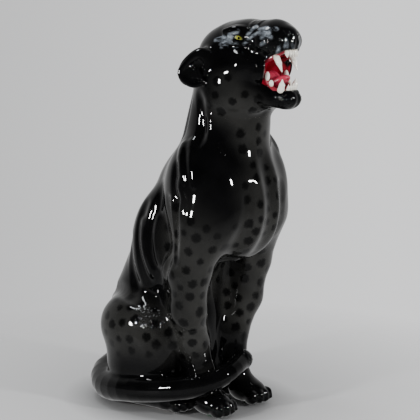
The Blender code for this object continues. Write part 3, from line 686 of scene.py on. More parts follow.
def spots_of(points, smoke):
    """Hand-painted black spots, spaced out over the smoky areas."""
    random.seed(7)
    centres, cells = [], {}
    clear_of_seam = np.abs(points[:, 2] - NECK_SEAM_Z) > 6
    order = [int(index) for index in np.nonzero((smoke > 0.22) & clear_of_seam)[0]]
    random.shuffle(order)
    for index in order:
        point = points[index]
        gap = SPOT_GAP * (0.85 + 0.35 * (0.5 + 0.5 * float(lump_noise(point[None] / 47.0)[0])))
        key = tuple(int(c // 16) for c in point)
        near = [c for dx in (-1, 0, 1) for dy in (-1, 0, 1) for dz in (-1, 0, 1)
                for c in cells.get((key[0] + dx, key[1] + dy, key[2] + dz), ())]
        if all(math.dist(point, c[0]) > gap for c in near):
            spot = (tuple(float(c) for c in point), random.uniform(*SPOT_RADII), len(centres))
            cells.setdefault(key, []).append(spot)
            centres.append(spot)
    tree = kdtree.KDTree(max(1, len(centres)))
    for place, _, index in centres:
        tree.insert(place, index)
    tree.balance()
    found = np.zeros(len(points), np.float32)
    wobble = lump_noise(points / 6.5)
    for index in np.nonzero(smoke > 0.02)[0]:
        _, which, away = tree.find(points[index])
        if which is not None:
            radius = centres[which][1] * (1 + 0.22 * wobble[index])
            found[index] = min(1.0, max(0.0, (radius + 1.2 - away) / 2.2))
    return found * found * (3 - 2 * found)


def painted_reflections_of(points):
    """Pale blue-grey streaks behind the eye, over the muzzle and along the lip: painted reflections and
    highlights on the glaze.
    """
    found = np.zeros(len(points), np.float32)
    for side in SIDES:
        for start, end, width, share in (
            ((27.5, -60, 352), (27, -68, 354), 2.4, 1.0),
            ((29, -67, 349), (28.4, -77, 355.5), 2.2, 1.0),
            ((28, -76, 356), (27, -83.5, 359.8), 1.2, 0.9),
            ((29.5, -68.5, 346), (28, -77, 350.5), 1.5, 0.7),
            ((27.5, -76, 346.5), (27, -83, 348), 1.4, 0.75),
            ((22.4, -92, 357), (17, -97, 364.7), 1.1, 0.8),
            ((23.2, -88.7, 349), (22.8, -95.4, 354.7), 0.8, 0.9),
            ((22.8, -95.4, 354.7), (20, -104, 360), 1.0, 0.95),
            ((18.6, -102, 362.6), (18, -109.5, 363.5), 1.6, 0.95),
            ((18, -109.5, 363.5), (14.8, -117.5, 363), 1.4, 0.9),
            ((19, -107, 361), (20.5, -113.5, 359.8), 1.5, 0.9),
            ((21.5, -105, 358), (21.8, -114, 357), 1.3, 0.8),
            ((23, -108, 355), (21.5, -116.5, 355.5), 1.0, 0.7),
            ((23.7, -108, 349), (23.2, -112, 351.5), 0.8, 0.45),
            ((16.6, -122.4, 346.5), (13.6, -117.5, 340), 0.9, 0.9),
            ((11, -126.3, 353.5), (10.8, -126.2, 347.5), 1.7, 0.42),
            ((6, -129.4, 350), (4, -130.2, 346), 1.5, 0.22),
        ):
            away = limb_distance(points, (side * start[0], *start[1:]), (side * end[0], *end[1:]),
                                 width * 0.4, width)
            found = np.maximum(found, share * np.clip(1 - away / 1.8, 0, 1))
    return found * (0.7 + 0.3 * lump_noise(points / np.array([2.2, 4.5, 2.2], np.float32)))


def mouth_of(points, normals):
    """How deep a point lies under the closed lips' surface, as a share: the red of the mouth."""
    space = Clay()
    mouth_space(space, cut=False)
    throat_space(space, cut=False)
    closed = Clay()
    skull(closed)
    deep = np.clip((-closed.distance(points) - 2.4) / 1.4, 0, 1)
    inside = np.clip((2.0 - space.distance(points)) / 1.5, 0, 1)
    inward = np.clip(0.5 - 2 * normals[:, 0] * np.sign(points[:, 0]), 0, 1)
    reach = 16.0 + 4.0 * inward
    behind_lips = np.clip((reach - np.abs(points[:, 0])) / 1.5, 0, 1)
    behind_lips *= np.clip((points[:, 1] + 120) / 2, 0, 1)
    return inside * np.maximum(deep, behind_lips)


def finish_casting(name, casting, low, high, step, cad_node, glaze, bisque):
    points, quads = polygonise(casting, low, high, step)
    mesh = mesh_of(name, points, quads)
    mesh = thin_inside(mesh, casting)
    points = settle(coordinates(mesh), casting, step * 0.7)
    mesh.vertices.foreach_set("co", (points * MM).ravel())
    cut_at_seam(mesh, casting.keep_above)
    points = coordinates(mesh)
    normals = casting.gradient(points)
    on_rim = np.abs(points[:, 2] - NECK_SEAM_Z) < 0.01
    outer = casting.clay.distance(points) > -1.6
    smoke = smoke_of(points) * outer
    set_attribute(mesh, "smoke", smoke)
    set_attribute(mesh, "spot", spots_of(points, smoke))
    # The pale streaks are painted reflections and highlights on the muzzle and round the eye.
    set_attribute(mesh, "painted_reflection", painted_reflections_of(points) * outer)
    set_attribute(mesh, "mouth", mouth_of(points, normals))
    hollow_side = (casting.inside(points) < 1.2) & (casting.clay.distance(points) < -1.4)
    underside = points[:, 2] < FOOT_Z + 0.15
    if not casting.keep_above:
        ring = np.hypot(points[:, 0] / RECESS_RADII[0], (points[:, 1] - RECESS_CENTRE_Y) / RECESS_RADII[1])
        underside |= (ring < 1.02) & (points[:, 2] < FLOOR_BOTTOM_Z + 1.5)
    bare = hollow_side | underside
    mesh.materials.append(glaze)
    mesh.materials.append(bisque)
    corners = np.array([face.vertices[0] for face in mesh.polygons])
    flat = np.array([abs(face.normal.z) > 0.999 for face in mesh.polygons])
    all_bare = np.array([all(bare[corner] for corner in face.vertices) for face in mesh.polygons])
    index = all_bare | (flat & on_rim[corners])
    mesh.polygons.foreach_set("material_index", index.astype(np.int32))
    mesh.shade_smooth()
    mesh.normals_split_custom_set_from_vertices([tuple(n) for n in normals.astype(float)])
    stand_in(link(name, mesh), "figure", cad_node)


# ------------------------------------------------------------------------------ materials

class Paint:
    """The nodes of a material or world, with short ways to add the usual ones."""

    def __init__(self, tree):
        self.nodes, self.links = tree.nodes, tree.links

    def feed(self, socket, value):
        """Gives a socket another socket, a number, a vector or a colour."""
        if isinstance(value, bpy.types.NodeSocket):
            self.links.new(value, socket)
        else:
            socket.default_value = (*value, 1) if socket.type == "RGBA" else value

    def add(self, kind, output, inputs, **settings):
        """Adds a node with these settings and inputs, and returns one of its outputs."""
        made = self.nodes.new(kind)
        for name, value in settings.items():
            setattr(made, name, value)
        for key, value in inputs.items():
            self.feed(made.inputs[key], value)
        return made.outputs[output]

    def mix(self, share, first, second):
        return self.add("ShaderNodeMix", 2, {"Factor": share, 6: first, 7: second}, data_type="RGBA")

    def maths(self, operation, first, second, clamp=False):
        return self.add("ShaderNodeMath", 0, {0: first, 1: second}, operation=operation, use_clamp=clamp)

    def vector(self, operation, output, *inputs):
        return self.add("ShaderNodeVectorMath", output, dict(enumerate(inputs)), operation=operation)

    def attribute(self, name):
        return self.add("ShaderNodeAttribute", "Fac", {}, attribute_name=name)

    def place(self, output):
        return self.add("ShaderNodeTexCoord", output, {})

    def noise(self, scale, detail=2.0, roughness=0.5, stretch=(1, 1, 1)):
        place = self.add("ShaderNodeMapping", "Vector", {"Vector": self.place("Object"), "Scale": stretch})
        return self.add("ShaderNodeTexNoise", "Fac", {
            "Vector": place, "Scale": scale, "Detail": detail, "Roughness": roughness})

    def ramp(self, source, low, high, to_low=0.0, to_high=1.0):
        return self.add("ShaderNodeMapRange", "Result", {
            "Value": source, "From Min": low, "From Max": high, "To Min": to_low, "To Max": to_high})

    def bump(self, height, strength, distance):
        return self.add("ShaderNodeBump", "Normal", {
            "Height": height, "Strength": strength, "Distance": distance})


class Surface(Paint):
    """A material with a principled shader."""

    def __init__(self, name):
        self.material = bpy.data.materials.new(name)
        self.material.use_nodes = True
        super().__init__(self.material.node_tree)
        self.shader = self.nodes["Principled BSDF"]

    def finish(self, colour, roughness, inputs):
        for name, value in {"Base Color": colour, "Roughness": roughness, **inputs}.items():
            self.feed(self.shader.inputs[name], value)
        return self.material


def glaze_material():
    """Black stain under clear glaze: smoke grey airbrush, black spots, pale painted reflections and
    highlights, red mouth.
    """
    paint = Surface("black_glaze")
    black = paint.mix(paint.ramp(paint.noise(45, 3), 0.35, 0.7),
                      (0.0013, 0.0013, 0.0015), (0.0027, 0.0027, 0.0029))
    grey = paint.mix(paint.noise(32, 3, 0.55), (0.024, 0.0245, 0.0235), (0.046, 0.045, 0.0415))
    grey = paint.mix(paint.ramp(paint.noise(900, 2, 0.6), 0.45, 0.75, 0, 0.35), grey,
                     (0.022, 0.022, 0.020))
    colour = paint.mix(paint.attribute("smoke"), black, grey)
    spot = paint.maths("MULTIPLY", paint.attribute("spot"), 0.97)
    colour = paint.mix(spot, colour, (0.0022, 0.0022, 0.0022))
    # Painted reflections and highlights: pale blue-grey streaks round the eye and over the muzzle, broken up
    # by noise.
    streak = paint.ramp(paint.noise(260, 3, 0.6, (1, 0.22, 1)), 0.38, 0.62)
    painted_reflection = paint.maths("MULTIPLY", paint.attribute("painted_reflection"), streak, clamp=True)
    colour = paint.mix(painted_reflection, colour, (0.33, 0.37, 0.42))
    flesh = paint.mix(paint.noise(130, 3), (0.30, 0.006, 0.018), (0.55, 0.022, 0.050))
    colour = paint.mix(paint.attribute("mouth"), colour, flesh)
    ripple = paint.bump(paint.noise(55, 2, 0.4), 0.16, 0.0008)
    return paint.finish(colour, 0.6, {
        "Specular IOR Level": 0.0, "Coat Weight": 1.0, "Coat Roughness": 0.035, "Coat IOR": 1.5,
        "Normal": ripple, "Coat Normal": ripple})


def bisque_material():
    """The unglazed fired clay inside and under the foot: cream, chalky, with slip marks."""
    paint = Surface("cream_bisque")
    colour = paint.mix(paint.noise(60, 5, 0.6), (0.52, 0.44, 0.34), (0.68, 0.61, 0.51))
    specks = paint.ramp(paint.noise(800, 2), 0.66, 0.74, 0, 0.6)
    colour = paint.mix(specks, colour, (0.24, 0.18, 0.12))
    grain = paint.noise(420, 4, 0.7, (1, 1, 0.5))
    return paint.finish(colour, 0.85, {"Normal": paint.bump(grain, 0.35, 0.0006)})


def tooth_material():
    """Ivory glaze, browner towards the roots, on glossy red gums."""
    paint = Surface("white_glaze")
    ivory = paint.mix(paint.noise(220, 3), (0.80, 0.77, 0.68), (0.90, 0.88, 0.82))
    # The ivory turns browner towards the roots, where the teeth meet the gum.
    browner_at_root = paint.maths("MULTIPLY", paint.attribute("root"), 0.45)
    ivory = paint.mix(browner_at_root, ivory, (0.46, 0.34, 0.2))
    flesh = paint.mix(paint.noise(300, 3), (0.16, 0.008, 0.015), (0.34, 0.03, 0.05))
    colour = paint.mix(paint.attribute("gum"), ivory, flesh)
    ridges = paint.noise(500, 2, 0.5, (1, 1, 0.15))
    return paint.finish(colour, 0.18, {
        "Coat Weight": 0.8, "Coat Roughness": 0.05, "Normal": paint.bump(ridges, 0.12, 0.0003)})


def tongue_material():
    paint = Surface("pink_glaze")
    colour = paint.mix(paint.noise(160, 4), (0.34, 0.012, 0.04), (0.52, 0.04, 0.085))
    papillae = paint.noise(1500, 1)
    colour = paint.mix(paint.ramp(papillae, 0.5, 0.7, 0, 0.22), colour, (0.66, 0.14, 0.18))
    return paint.finish(colour, 0.22, {
        "Coat Weight": 0.9, "Coat Roughness": 0.06, "Normal": paint.bump(papillae, 0.25, 0.0003)})


def eye_material():
    """Painted iris round a dark pupil, both from the distance off the gaze, with a dark rim."""
    paint = Surface("eye_glaze")
    off = paint.attribute("off_gaze")
    fibres = paint.ramp(paint.noise(900, 4, 0.7), 0.35, 0.7)
    iris = paint.mix(fibres, (0.20, 0.22, 0.015), (0.62, 0.60, 0.10))
    iris = paint.mix(paint.ramp(off, 2.2, 3.4), iris, (0.78, 0.80, 0.42))
    iris = paint.mix(paint.ramp(off, 3.5, 4.1), iris, (0.012, 0.014, 0.006))
    colour = paint.mix(paint.ramp(off, 1.25, 1.05), iris, (0.002, 0.002, 0.002))
    return paint.finish(colour, 0.12, {"Coat Weight": 1.0, "Coat Roughness": 0.02})


def metal_material(name, colour, dark, roughness, stretch=(1, 1, 1)):
    """Metal with tarnish in patches and fine tool marks."""
    paint = Surface(name)
    patches = paint.noise(90, 5, 0.65)
    colour = paint.mix(paint.ramp(patches, 0.42, 0.72, 0, 0.8), colour, dark)
    roughness = paint.ramp(patches, 0.3, 0.75, roughness * 0.75, roughness * 1.5)
    marks = paint.bump(paint.noise(240, 3, 0.6, stretch), 0.12, 0.0002)
    return paint.finish(colour, roughness, {"Metallic": 1.0, "Normal": marks})


def plain_material(name, first, second, roughness, scale, bump_scale, bump_height, coat=0.0):
    """A moulded or pressed stuff: two close tones, one roughness and a fine surface."""
    paint = Surface(name)
    colour = paint.mix(paint.noise(scale, 4), first, second)
    roughness = paint.ramp(paint.noise(scale * 1.7, 3), 0.3, 0.7, roughness * 0.85,
                           min(1.0, roughness * 1.15))
    surface = paint.bump(paint.noise(bump_scale, 3, 0.7), 0.4, bump_height)
    return paint.finish(colour, roughness, {"Coat Weight": coat, "Normal": surface})


def glass_material():
    """Bulb glass, frosted inside."""
    paint = Surface("lamp_glass")
    cloud = paint.noise(70, 4)
    colour = paint.mix(cloud, (0.93, 0.93, 0.90), (0.99, 0.99, 0.97))
    return paint.finish(colour, paint.ramp(cloud, 0.3, 0.7, 0.16, 0.26), {
        "Transmission Weight": 0.85, "IOR": 1.45,
        "Normal": paint.bump(paint.noise(1400, 2), 0.08, 0.0001)})


# ------------------------------------------------------------------------------ mouth and eyes

def small_piece(name, clay, low, high, cad_node, material, extra=None):
    """A finely sampled piece of clay; extra stores more on its mesh for the material."""
    points, quads = polygonise(clay, low, high, SMALL_STEP)
    points = settle(points, clay, SMALL_STEP * 0.6, 2)
    mesh = mesh_of(name, points, quads)
    mesh.shade_smooth()
    if extra:
        extra(mesh, points)
    normals = clay.gradient(points, 0.1).astype(float)
    mesh.normals_split_custom_set_from_vertices([tuple(normal) for normal in normals])
    stand_in(link(name, mesh, material), "figure", cad_node)


UPPER_GUM = [(14, -104, 333.5), (13.5, -110, 336), (12, -116.5, 339.5), (8, -121.5, 343)]
LOWER_GUM = [(13, -104, 320), (13.5, -109, 314), (12, -114, 309), (9, -120, 307)]
GUM_FRONTS = {"upper": (0, -124, 344), "lower": (0, -124, 307)}
TOOTH_ROOTS = {
    "upper": [((11.6, -115, 340), (11.6, -122.3, 325), 3.2),
              ((7.2, -123.5, 342.6), (7.3, -125, 337.6), 1.9),
              ((4.3, -125, 343), (4.3, -126.2, 338), 1.6),
              ((1.45, -125.5, 343), (1.45, -126.8, 338.2), 1.55)],
    "lower": [((9.6, -119.6, 308), (10.2, -121.8, 318), 3.3),
              ((5.3, -124, 308.5), (5.4, -125.2, 313.2), 1.6),
              ((3.1, -125, 308.5), (3.2, -126.2, 313.6), 1.4),
              ((1.0, -125.6, 308.5), (1, -126.8, 313.8), 1.3)],
}
CHEEK_TEETH = [((13.6, -112.0, 314.2), 2.3, 3.2), ((14.2, -108.2, 320.6), 2.4, 4.2)]


def teeth_clay(row, gum_path, bar):
    """A gum bar, the canines and incisors on it, and the lower row's cheek teeth."""
    clay = Clay()
    clay.rope(gum_path, [bar] * len(gum_path), soft=0.6)
    for root, tip, radius in TOOTH_ROOTS[row]:
        for side in SIDES:
            start = (side * root[0], *root[1:])
            end = (side * tip[0], *tip[1:])
            middle = tuple((a + b) / 2 + shift for a, b, shift in zip(start, end, (side * 0.2, -0.5, 0)))
            clay.limb(start, middle, radius, radius * 0.78, soft=0.8)
            clay.limb(middle, end, radius * 0.78, 0.42, soft=0.6)
    if row == "lower":
        for (x, y, z), radius, height in CHEEK_TEETH:
            for side in SIDES:
                clay.mass((side * x, y, z), (radius * 0.8, radius, height), soft=0.6)
    return clay


def mark_gums(gum_path):
    """Stores how near each point is to the gum, and to the tooth roots."""
    gum = Clay()
    gum.rope(gum_path, [2.15] * len(gum_path), soft=0.6)

    def mark(mesh, points):
        away = gum.distance(points)
        set_attribute(mesh, "gum", np.clip((0.5 - away) / 0.5, 0, 1))
        set_attribute(mesh, "root", np.clip(1 - away / 2.2, 0, 1))

    return mark


def mouth_pieces():
    ivory, pink = tooth_material(), tongue_material()
    for row, half, low, high in (
        ("upper", UPPER_GUM, (-20, -132, 320), (20, -96, 348)),
        ("lower", LOWER_GUM, (-18, -132, 300), (18, -98, 326)),
    ):
        path = [*mirrored(-1, half), GUM_FRONTS[row], *half[::-1]]
        small_piece(f"{row}_teeth_and_gum", teeth_clay(row, path, 2.1), low, high, f"{row}_teeth",
                    ivory, mark_gums(path))
    clay = Clay()
    clay.mass((0, -111, 315.5), (8.4, 11.5, 4.4), soft=1, turn=(-24, 0, 0))
    clay.mass((0, -101, 319.5), (8.8, 8, 5.5), soft=4)
    clay.limb((0, -123, 316), (0, -99, 327.0), 0.9, 1.1, soft=2.6, cut=True)
    clay.texture((0, -106, 315), (12, 20, 9), 0.16, 1.5)
    small_piece("tongue_glazed", clay, (-14, -128, 302), (14, -84, 330), "tongue", pink)


def eyes():
    """Two eyeballs, a little raised over the iris, that store how far each point is off the gaze."""
    material = eye_material()
    for name, side in (("eye_left", 1), ("eye_right", -1)):
        centre, gaze = (Vector(mirrored(side, [place])[0]) for place in (EYE_CENTRE, GAZE))
        bm = bmesh.new()
        bmesh.ops.create_icosphere(bm, subdivisions=5, radius=EYE_RADIUS * MM)
        for vert in bm.verts:
            off = vert.co.normalized().angle(gaze)
            vert.co *= 1 + 0.05 * math.exp(-(off / 0.5) ** 2)
        bmesh.ops.translate(bm, vec=centre * MM, verts=bm.verts)
        mesh = mesh_from(f"{name}_painted", bm)
        mesh.shade_smooth()
        offset = coordinates(mesh) - np.array(centre)
        along = offset @ np.array(gaze)
        across = np.sqrt(np.maximum((offset**2).sum(1) - along**2, 0))
        set_attribute(mesh, "off_gaze", np.where(along > 0, across, 9.0))
        stand_in(link(f"{name}_painted", mesh, material), "figure", name)


# ------------------------------------------------------------------------------ turned hardware

def eased(profile, ease, closed):
    """The profile with each corner rounded over ease millimetres of its two edges."""
    path = []
    count = len(profile)
    for index, corner in enumerate(profile):
        if not closed and index in (0, count - 1):
            path.append(corner)
            continue
        here = np.array(corner, float)
        before = np.array(profile[index - 1], float) - here
        after = np.array(profile[(index + 1) % count], float) - here
        first = before / np.linalg.norm(before) * min(ease, 0.4 * np.linalg.norm(before))
        last = after / np.linalg.norm(after) * min(ease, 0.4 * np.linalg.norm(after))
        for share in (0.0, 0.5, 1.0):
            bend = (1 - share) ** 2 * first + share**2 * last
            path.append(tuple(float(value) for value in here + bend))
    return path


def threads(top, depth, high, low, pitch):
    """Rounded V threads as a profile that runs down from high to low."""
    count = int((high - low) / pitch)
    found = []
    for index in range(count):
        z = high - index * pitch
        found += [(top, z), (top, z - 0.25 * pitch), (top - depth, z - 0.5 * pitch),
                  (top - depth, z - 0.75 * pitch)]
    return found


def turned_mesh(name, profile, steps, ease, shape):
    """The profile of (radius, height) turned round Z; shape may change a radius by its angle."""
    closed = not (profile[0][0] == 0 and profile[-1][0] == 0)
    path = eased(profile, ease, closed) if ease else profile
    bm = bmesh.new()
    rings = []
    for radius, height in path:
        if radius < 1e-6:
            rings.append([bm.verts.new((0, 0, height))])
            continue
        ring = []
        for index in range(steps):
            angle = 2 * math.pi * index / steps
            far = shape(radius, height, angle) if shape else radius
            ring.append(bm.verts.new((far * math.cos(angle), far * math.sin(angle), height)))
        rings.append(ring)
    pairs = list(zip(rings, rings[1:] + (rings[:1] if closed else [])))
    for first, second in pairs[:len(rings) if closed else len(rings) - 1]:
        for index in range(steps):
            after = (index + 1) % steps
            loop = [first[index % len(first)], first[after % len(first)],
                    second[after % len(second)], second[index % len(second)]]
            corners = list(dict.fromkeys(loop))
            if len(corners) > 2:
                bm.faces.new(corners)
    bmesh.ops.recalc_face_normals(bm, faces=bm.faces)
    return mesh_from(name, bm)


def facing(direction, place):
    """Turns +Z to the direction and moves the origin to the place, both in lamp millimetres."""
    turn = Vector(direction).to_track_quat("Z", "Y").to_matrix().to_4x4()
    return Matrix.Scale(MM, 4) @ Matrix.Translation(place) @ turn


def drilled(item, cutters):
    """The item's mesh with the cutters, as (kind, size, matrix), taken away."""
    made = []
    for kind, size, matrix in cutters:
        bm = bmesh.new()
        if kind == "round":
            radius, low, high = size
            bmesh.ops.create_cone(bm, cap_ends=True, segments=40, radius1=radius, radius2=radius,
                                  depth=high - low, matrix=Matrix.Translation((0, 0, (low + high) / 2)))
        else:
            bmesh.ops.create_cube(bm, size=1)
            bmesh.ops.scale(bm, vec=size, verts=bm.verts)
        bm.transform(matrix)
        cutter = link("cutter", mesh_from("cutter", bm))
        made.append(cutter)
        modifier = item.modifiers.new("drill", "BOOLEAN")
        modifier.operation = "DIFFERENCE"
        modifier.solver = "EXACT"
        modifier.object = cutter
    mesh = evaluated_mesh(item)
    item.modifiers.clear()
    item.data = mesh
    for cutter in made:
        bpy.data.objects.remove(cutter)


def fitting(name, cad_node, material, profile, body="figure", place=(0, LAMP_Y, 0),
            direction=(0, 0, 1), steps=72, ease=0.25, shape=None, cutters=(), squash=None):
    """A turned piece of the lamp, set where its CAD node is."""
    mesh = turned_mesh(name, profile, steps, ease, shape)
    if squash:
        mesh.transform(Matrix.Diagonal((*squash, 1, 1)))
    mesh.transform(facing(direction, place))
    mesh.update()
    item = link(name, mesh, material)
    if cutters:
        drilled(item, cutters)
    item.data.shade_smooth()
    item.data.set_sharp_from_angle(angle=math.radians(38))
    stand_in(item, body, cad_node)


def bent_wire(name, cad_node, material, places, radius):
    """A wire of the bulb along the places, as a mesh."""
    curve = bpy.data.curves.new(name, "CURVE")
    curve.dimensions = "3D"
    curve.bevel_depth = radius * MM
    curve.bevel_resolution = 3
    curve.use_fill_caps = True
    spline = curve.splines.new("POLY")
    spline.points.add(len(places) - 1)
    for point, (x, y, z) in zip(spline.points, places):
        point.co = (x * MM, (y + LAMP_Y) * MM, z * MM, 1)
    path = link("path", curve)
    mesh = evaluated_mesh(path)
    bpy.data.objects.remove(path)
    mesh.materials.clear()
    mesh.shade_smooth()
    stand_in(link(name, mesh, material), "bulb", cad_node)


def hexagon(across):
    """Keeps a radius inside a hexagon of this size between its flats."""
    def shape(radius, height, angle):
        off = (angle + math.pi / 6) % (math.pi / 3) - math.pi / 6
        return min(radius, across / math.cos(off)) if radius > 6 else radius
    return shape


def radial(z, angle):
    """The matrix of a cutter along the direction at this angle from +X, out from the lamp's axis."""
    turn = math.radians(angle)
    return facing((math.cos(turn), math.sin(turn), 0), (0, LAMP_Y, z))


def pipe_fittings(steel, brass):
    low, high = 6.0, 35.0
    profile = [*threads(4.9, 0.45, high, low + 0.4, 1.0), (4.5, low), (3.2, low), (3.2, high)]
    fitting("threaded_lamp_pipe", "lamp_pipe", steel, profile, ease=0.08)
    for name, z in (("lower", FLOOR_BOTTOM_Z - 1.8), ("upper", FLOOR_TOP_Z + 0.3)):
        ring = [(11, z + 1.5), (11, z), (5.2, z), (5.2, z + 1.5)]
        fitting(f"{name}_washer_pressed", f"{name}_washer", steel, ring, ease=0.45)
    for name, z in (("lower", FLOOR_BOTTOM_Z - 6.1), ("upper", FLOOR_TOP_Z + 2.1)):
        nut = [(6.9, z + 4), (8.1, z + 3.3), (8.1, z + 0.7), (6.9, z), (5.7, z), (5.2, z + 0.5),
               (5.2, z + 3.5), (5.7, z + 4)]
        fitting(f"{name}_nut_hexagonal", f"{name}_nut", brass, nut, steps=96, ease=0.12,
                shape=hexagon(7.01))


def cap_and_core(steel, brass, bakelite):
    cap = [(19.4, 49), (19.4, 47.4), (19.0, 46.9), (19.4, 46.4), (19.4, 43.5), (18.2, 40.4), (16.5, 38.5),
           (12.4, 37.2), (11.6, 37.6), (10.8, 36.7), (8, 36), (8, 27), (5.2, 27), (5.2, 36.8),
           (15.8, 39.4), (18.6, 44), (18.6, 49)]
    fitting("holder_cap_spun", "holder_cap", brass, cap, steps=96, ease=0.3,
            cutters=[("round", (1.9, 4.5, 12), radial(SET_SCREW_Z, 180))])
    screw = [(0, 11), (1.55, 11), *threads(1.55, 0.22, 9.4, 6.2, 0.6), (1.2, 5.4), (0, 5.4)]
    slot = facing((-1, 0, 0), (0, LAMP_Y, SET_SCREW_Z)) @ Matrix.Translation((0, 0, 11))
    fitting("set_screw_slotted", "set_screw", steel, screw, direction=(-1, 0, 0),
            place=(0, LAMP_Y, SET_SCREW_Z), steps=32, ease=0.12, cutters=[("slot", (4, 0.5, 1.4), slot)])
    core = [(0, 60), (4.8, 60), (5.2, 59.4), (7.0, 59.4), (7.4, 60), (14.4, 60), (14.4, 53), (14.0, 52.6),
            (14.0, 47.4), (14.4, 47), (14.4, 44.5), (11, 41), (0, 41)]
    holes = [("round", (2.8, 4.5, 20), radial(KEY_Z, 90))]
    holes += [("round", (1.6, 4.5, 20), radial(TERMINAL_Z, angle)) for angle in (0, 180)]
    fitting("holder_core_moulded", "holder_core", bakelite, core, steps=96, ease=0.35,
            cutters=holes)
    for name, side in (("left", 1), ("right", -1)):
        head = [(0, 16.4), (1.9, 16.3), (2.6, 15.7), (2.6, 14.9), *threads(1.3, 0.2, 14.6, 9.6, 0.7),
                (1.0, 9), (0, 9)]
        slot = facing((side, 0, 0), (0, LAMP_Y, TERMINAL_Z)) @ Matrix.Translation((0, 0, 16.4))
        fitting(f"terminal_screw_{name}_slotted", f"terminal_screw_{name}", brass, head,
                direction=(side, 0, 0), place=(0, LAMP_Y, TERMINAL_Z), steps=40, ease=0.12,
                cutters=[("slot", (6, 0.7, 1.3), slot)])


def shells(brass, fibre):
    def lapped(radius, height, angle):
        return radius + (0.22 if angle < 0.5 and radius > 17 else 0)

    liner = [(17.3, 86), (17.3, 45), (16.7, 45), (16.7, 86)]
    hole = [("round", (3.3, 4.5, 25), radial(KEY_Z, 90))]
    fitting("fibre_liner_rolled", "fibre_liner", fibre, liner, steps=96, ease=0.12,
            shape=lapped, cutters=hole)
    shell = [(18.3, 90), (18.6, 89.7), (18.9, 89.0), (18.9, 88.0), (18.6, 87.3), (18.3, 87), (18.3, 78.6),
             (18.7, 78.0), (18.7, 76.8), (18.3, 76.2), (18.3, 66), (18.3, 52.5), (18.3, 46),
             (17.6, 46), (17.6, 90)]
    fitting("holder_shell_beaded", "holder_shell", brass, shell, steps=96, ease=0.2,
            cutters=hole)
    threaded = [(14.4, 85), *threads(14.4, 0.6, 84, 64, 3.2), (13.9, 60.6), (8, 60.6), (8, 61.2),
                (13.2, 61.2), (13.3, 85)]
    fitting("screw_shell_rolled", "screw_shell", brass, threaded, steps=96, ease=0.5)
    fitting("centre_contact_domed", "centre_contact", brass,
            [(0, 63), (1.2, 62.9), (2.2, 62.6), (4.5, 61.4), (4.5, 60.4), (0, 60.4)], steps=48, ease=0.2)


def key_pieces(brass, bakelite):
    shaft = [(0, 31), (2.1, 31), (2.4, 30.7), (2.4, 24.5), (2.0, 24.2), (2.0, 22.6), (2.4, 22.3),
             (2.4, 9), (0, 9)]
    fitting("key_spindle_turned", "key_spindle", brass, shaft, "key", (0, LAMP_Y, KEY_Z),
            (0, 1, 0), 48, 0.15)

    def fluted(radius, height, angle):
        if radius < 4 or height > 34.4:
            return radius
        wave = math.cos(12 * angle)
        return radius * (1 - 0.075 * max(0.0, wave) ** 0.8)

    knob = [(0, 34.4), (2.2, 34.5), (3.0, 35), (5.4, 35), (6.8, 34.6), (7.3, 33.6), (7.9, 29), (8.5, 25.4),
            (8.4, 24.3), (7.6, 24), (4.4, 24), (4.0, 24.6), (2.7, 24.6), (2.7, 31.3), (0, 31.3)]
    fitting("key_knob_fluted", "key_knob", bakelite, knob, "key", (0, LAMP_Y, KEY_Z),
            (0, 1, 0), 144, 0.3, fluted)


def bulb_pieces(steel, brass, bakelite, glass, tungsten):
    fitting("bulb_contact_soldered", "bulb_contact", steel,
            [(0, 64.8), (4.4, 64.8), (4.4, 64.4), (3.9, 63.9), (2.6, 63.5), (0, 63.3)], "bulb", steps=48,
            ease=0.3, shape=lambda radius, height, angle: radius * (1 + 0.02 * math.sin(5 * angle)))
    fitting("bulb_insulator_moulded", "bulb_insulator", bakelite,
            [(0, 68.4), (11.6, 68.4), (11.6, 67.2), (8.4, 66.2), (8.2, 65.8), (5.6, 65.1), (0, 65.1)], "bulb",
            ease=0.2)
    cap = [(12.9, 88), (12.9, 86.4), *threads(12.9, 0.5, 85, 70.4, 2.9), (12.4, 68.7), (12.1, 68.7),
           (12.1, 88)]
    fitting("bulb_cap_threaded", "bulb_cap", brass, cap, "bulb", steps=96, ease=0.25)

    def side(radius, neck):
        curve = [(0.0, BULB_Z + radius)]
        for index in range(1, 25):
            angle = math.radians(90 - index * 5.2)
            curve.append((radius * math.cos(angle), BULB_Z + radius * math.sin(angle)))
        return curve + [(neck + 1.6, 96), (neck + 0.5, 92.5), (neck, 89.5), (neck, 71)]

    fitting("bulb_glass_blown", "bulb_glass", glass, side(19, 11.6) + side(18.2, 10.8)[::-1],
            "bulb", steps=96, ease=0)
    fitting("filament_stem_pressed", "filament_stem", glass,
            [(0, 98), (1.6, 97.7), (2.1, 96.6), (2.2, 90), (2.6, 82), (4.6, 77.5), (8.5, 74.6), (8.5, 74),
             (0, 74)], "bulb", steps=40, ease=0.3)
    for name, way in (("left", 1), ("right", -1)):
        bend = smooth_path([(way * 0.9, 0, 98.4), (way * 1.6, 0, 101), (way * 4.4, -0.3, 106.5),
                            (way * 6, 0, 110), (way * 6, 0, 112)], 5)
        bent_wire(f"filament_lead_{name}_drawn", f"filament_lead_{name}", steel, bend, 0.38)
    coil = []
    for index in range(241):
        share = index / 240
        turn, wind = math.pi * share, 2 * math.pi * 24 * share
        far = 5.2 + 0.3 * math.cos(wind)
        coil.append((-far * math.cos(turn), far * math.sin(turn) - 1, 112.9 + 0.3 * math.sin(wind)))
    bent_wire("filament_coiled", "filament", tungsten, coil, 0.09)


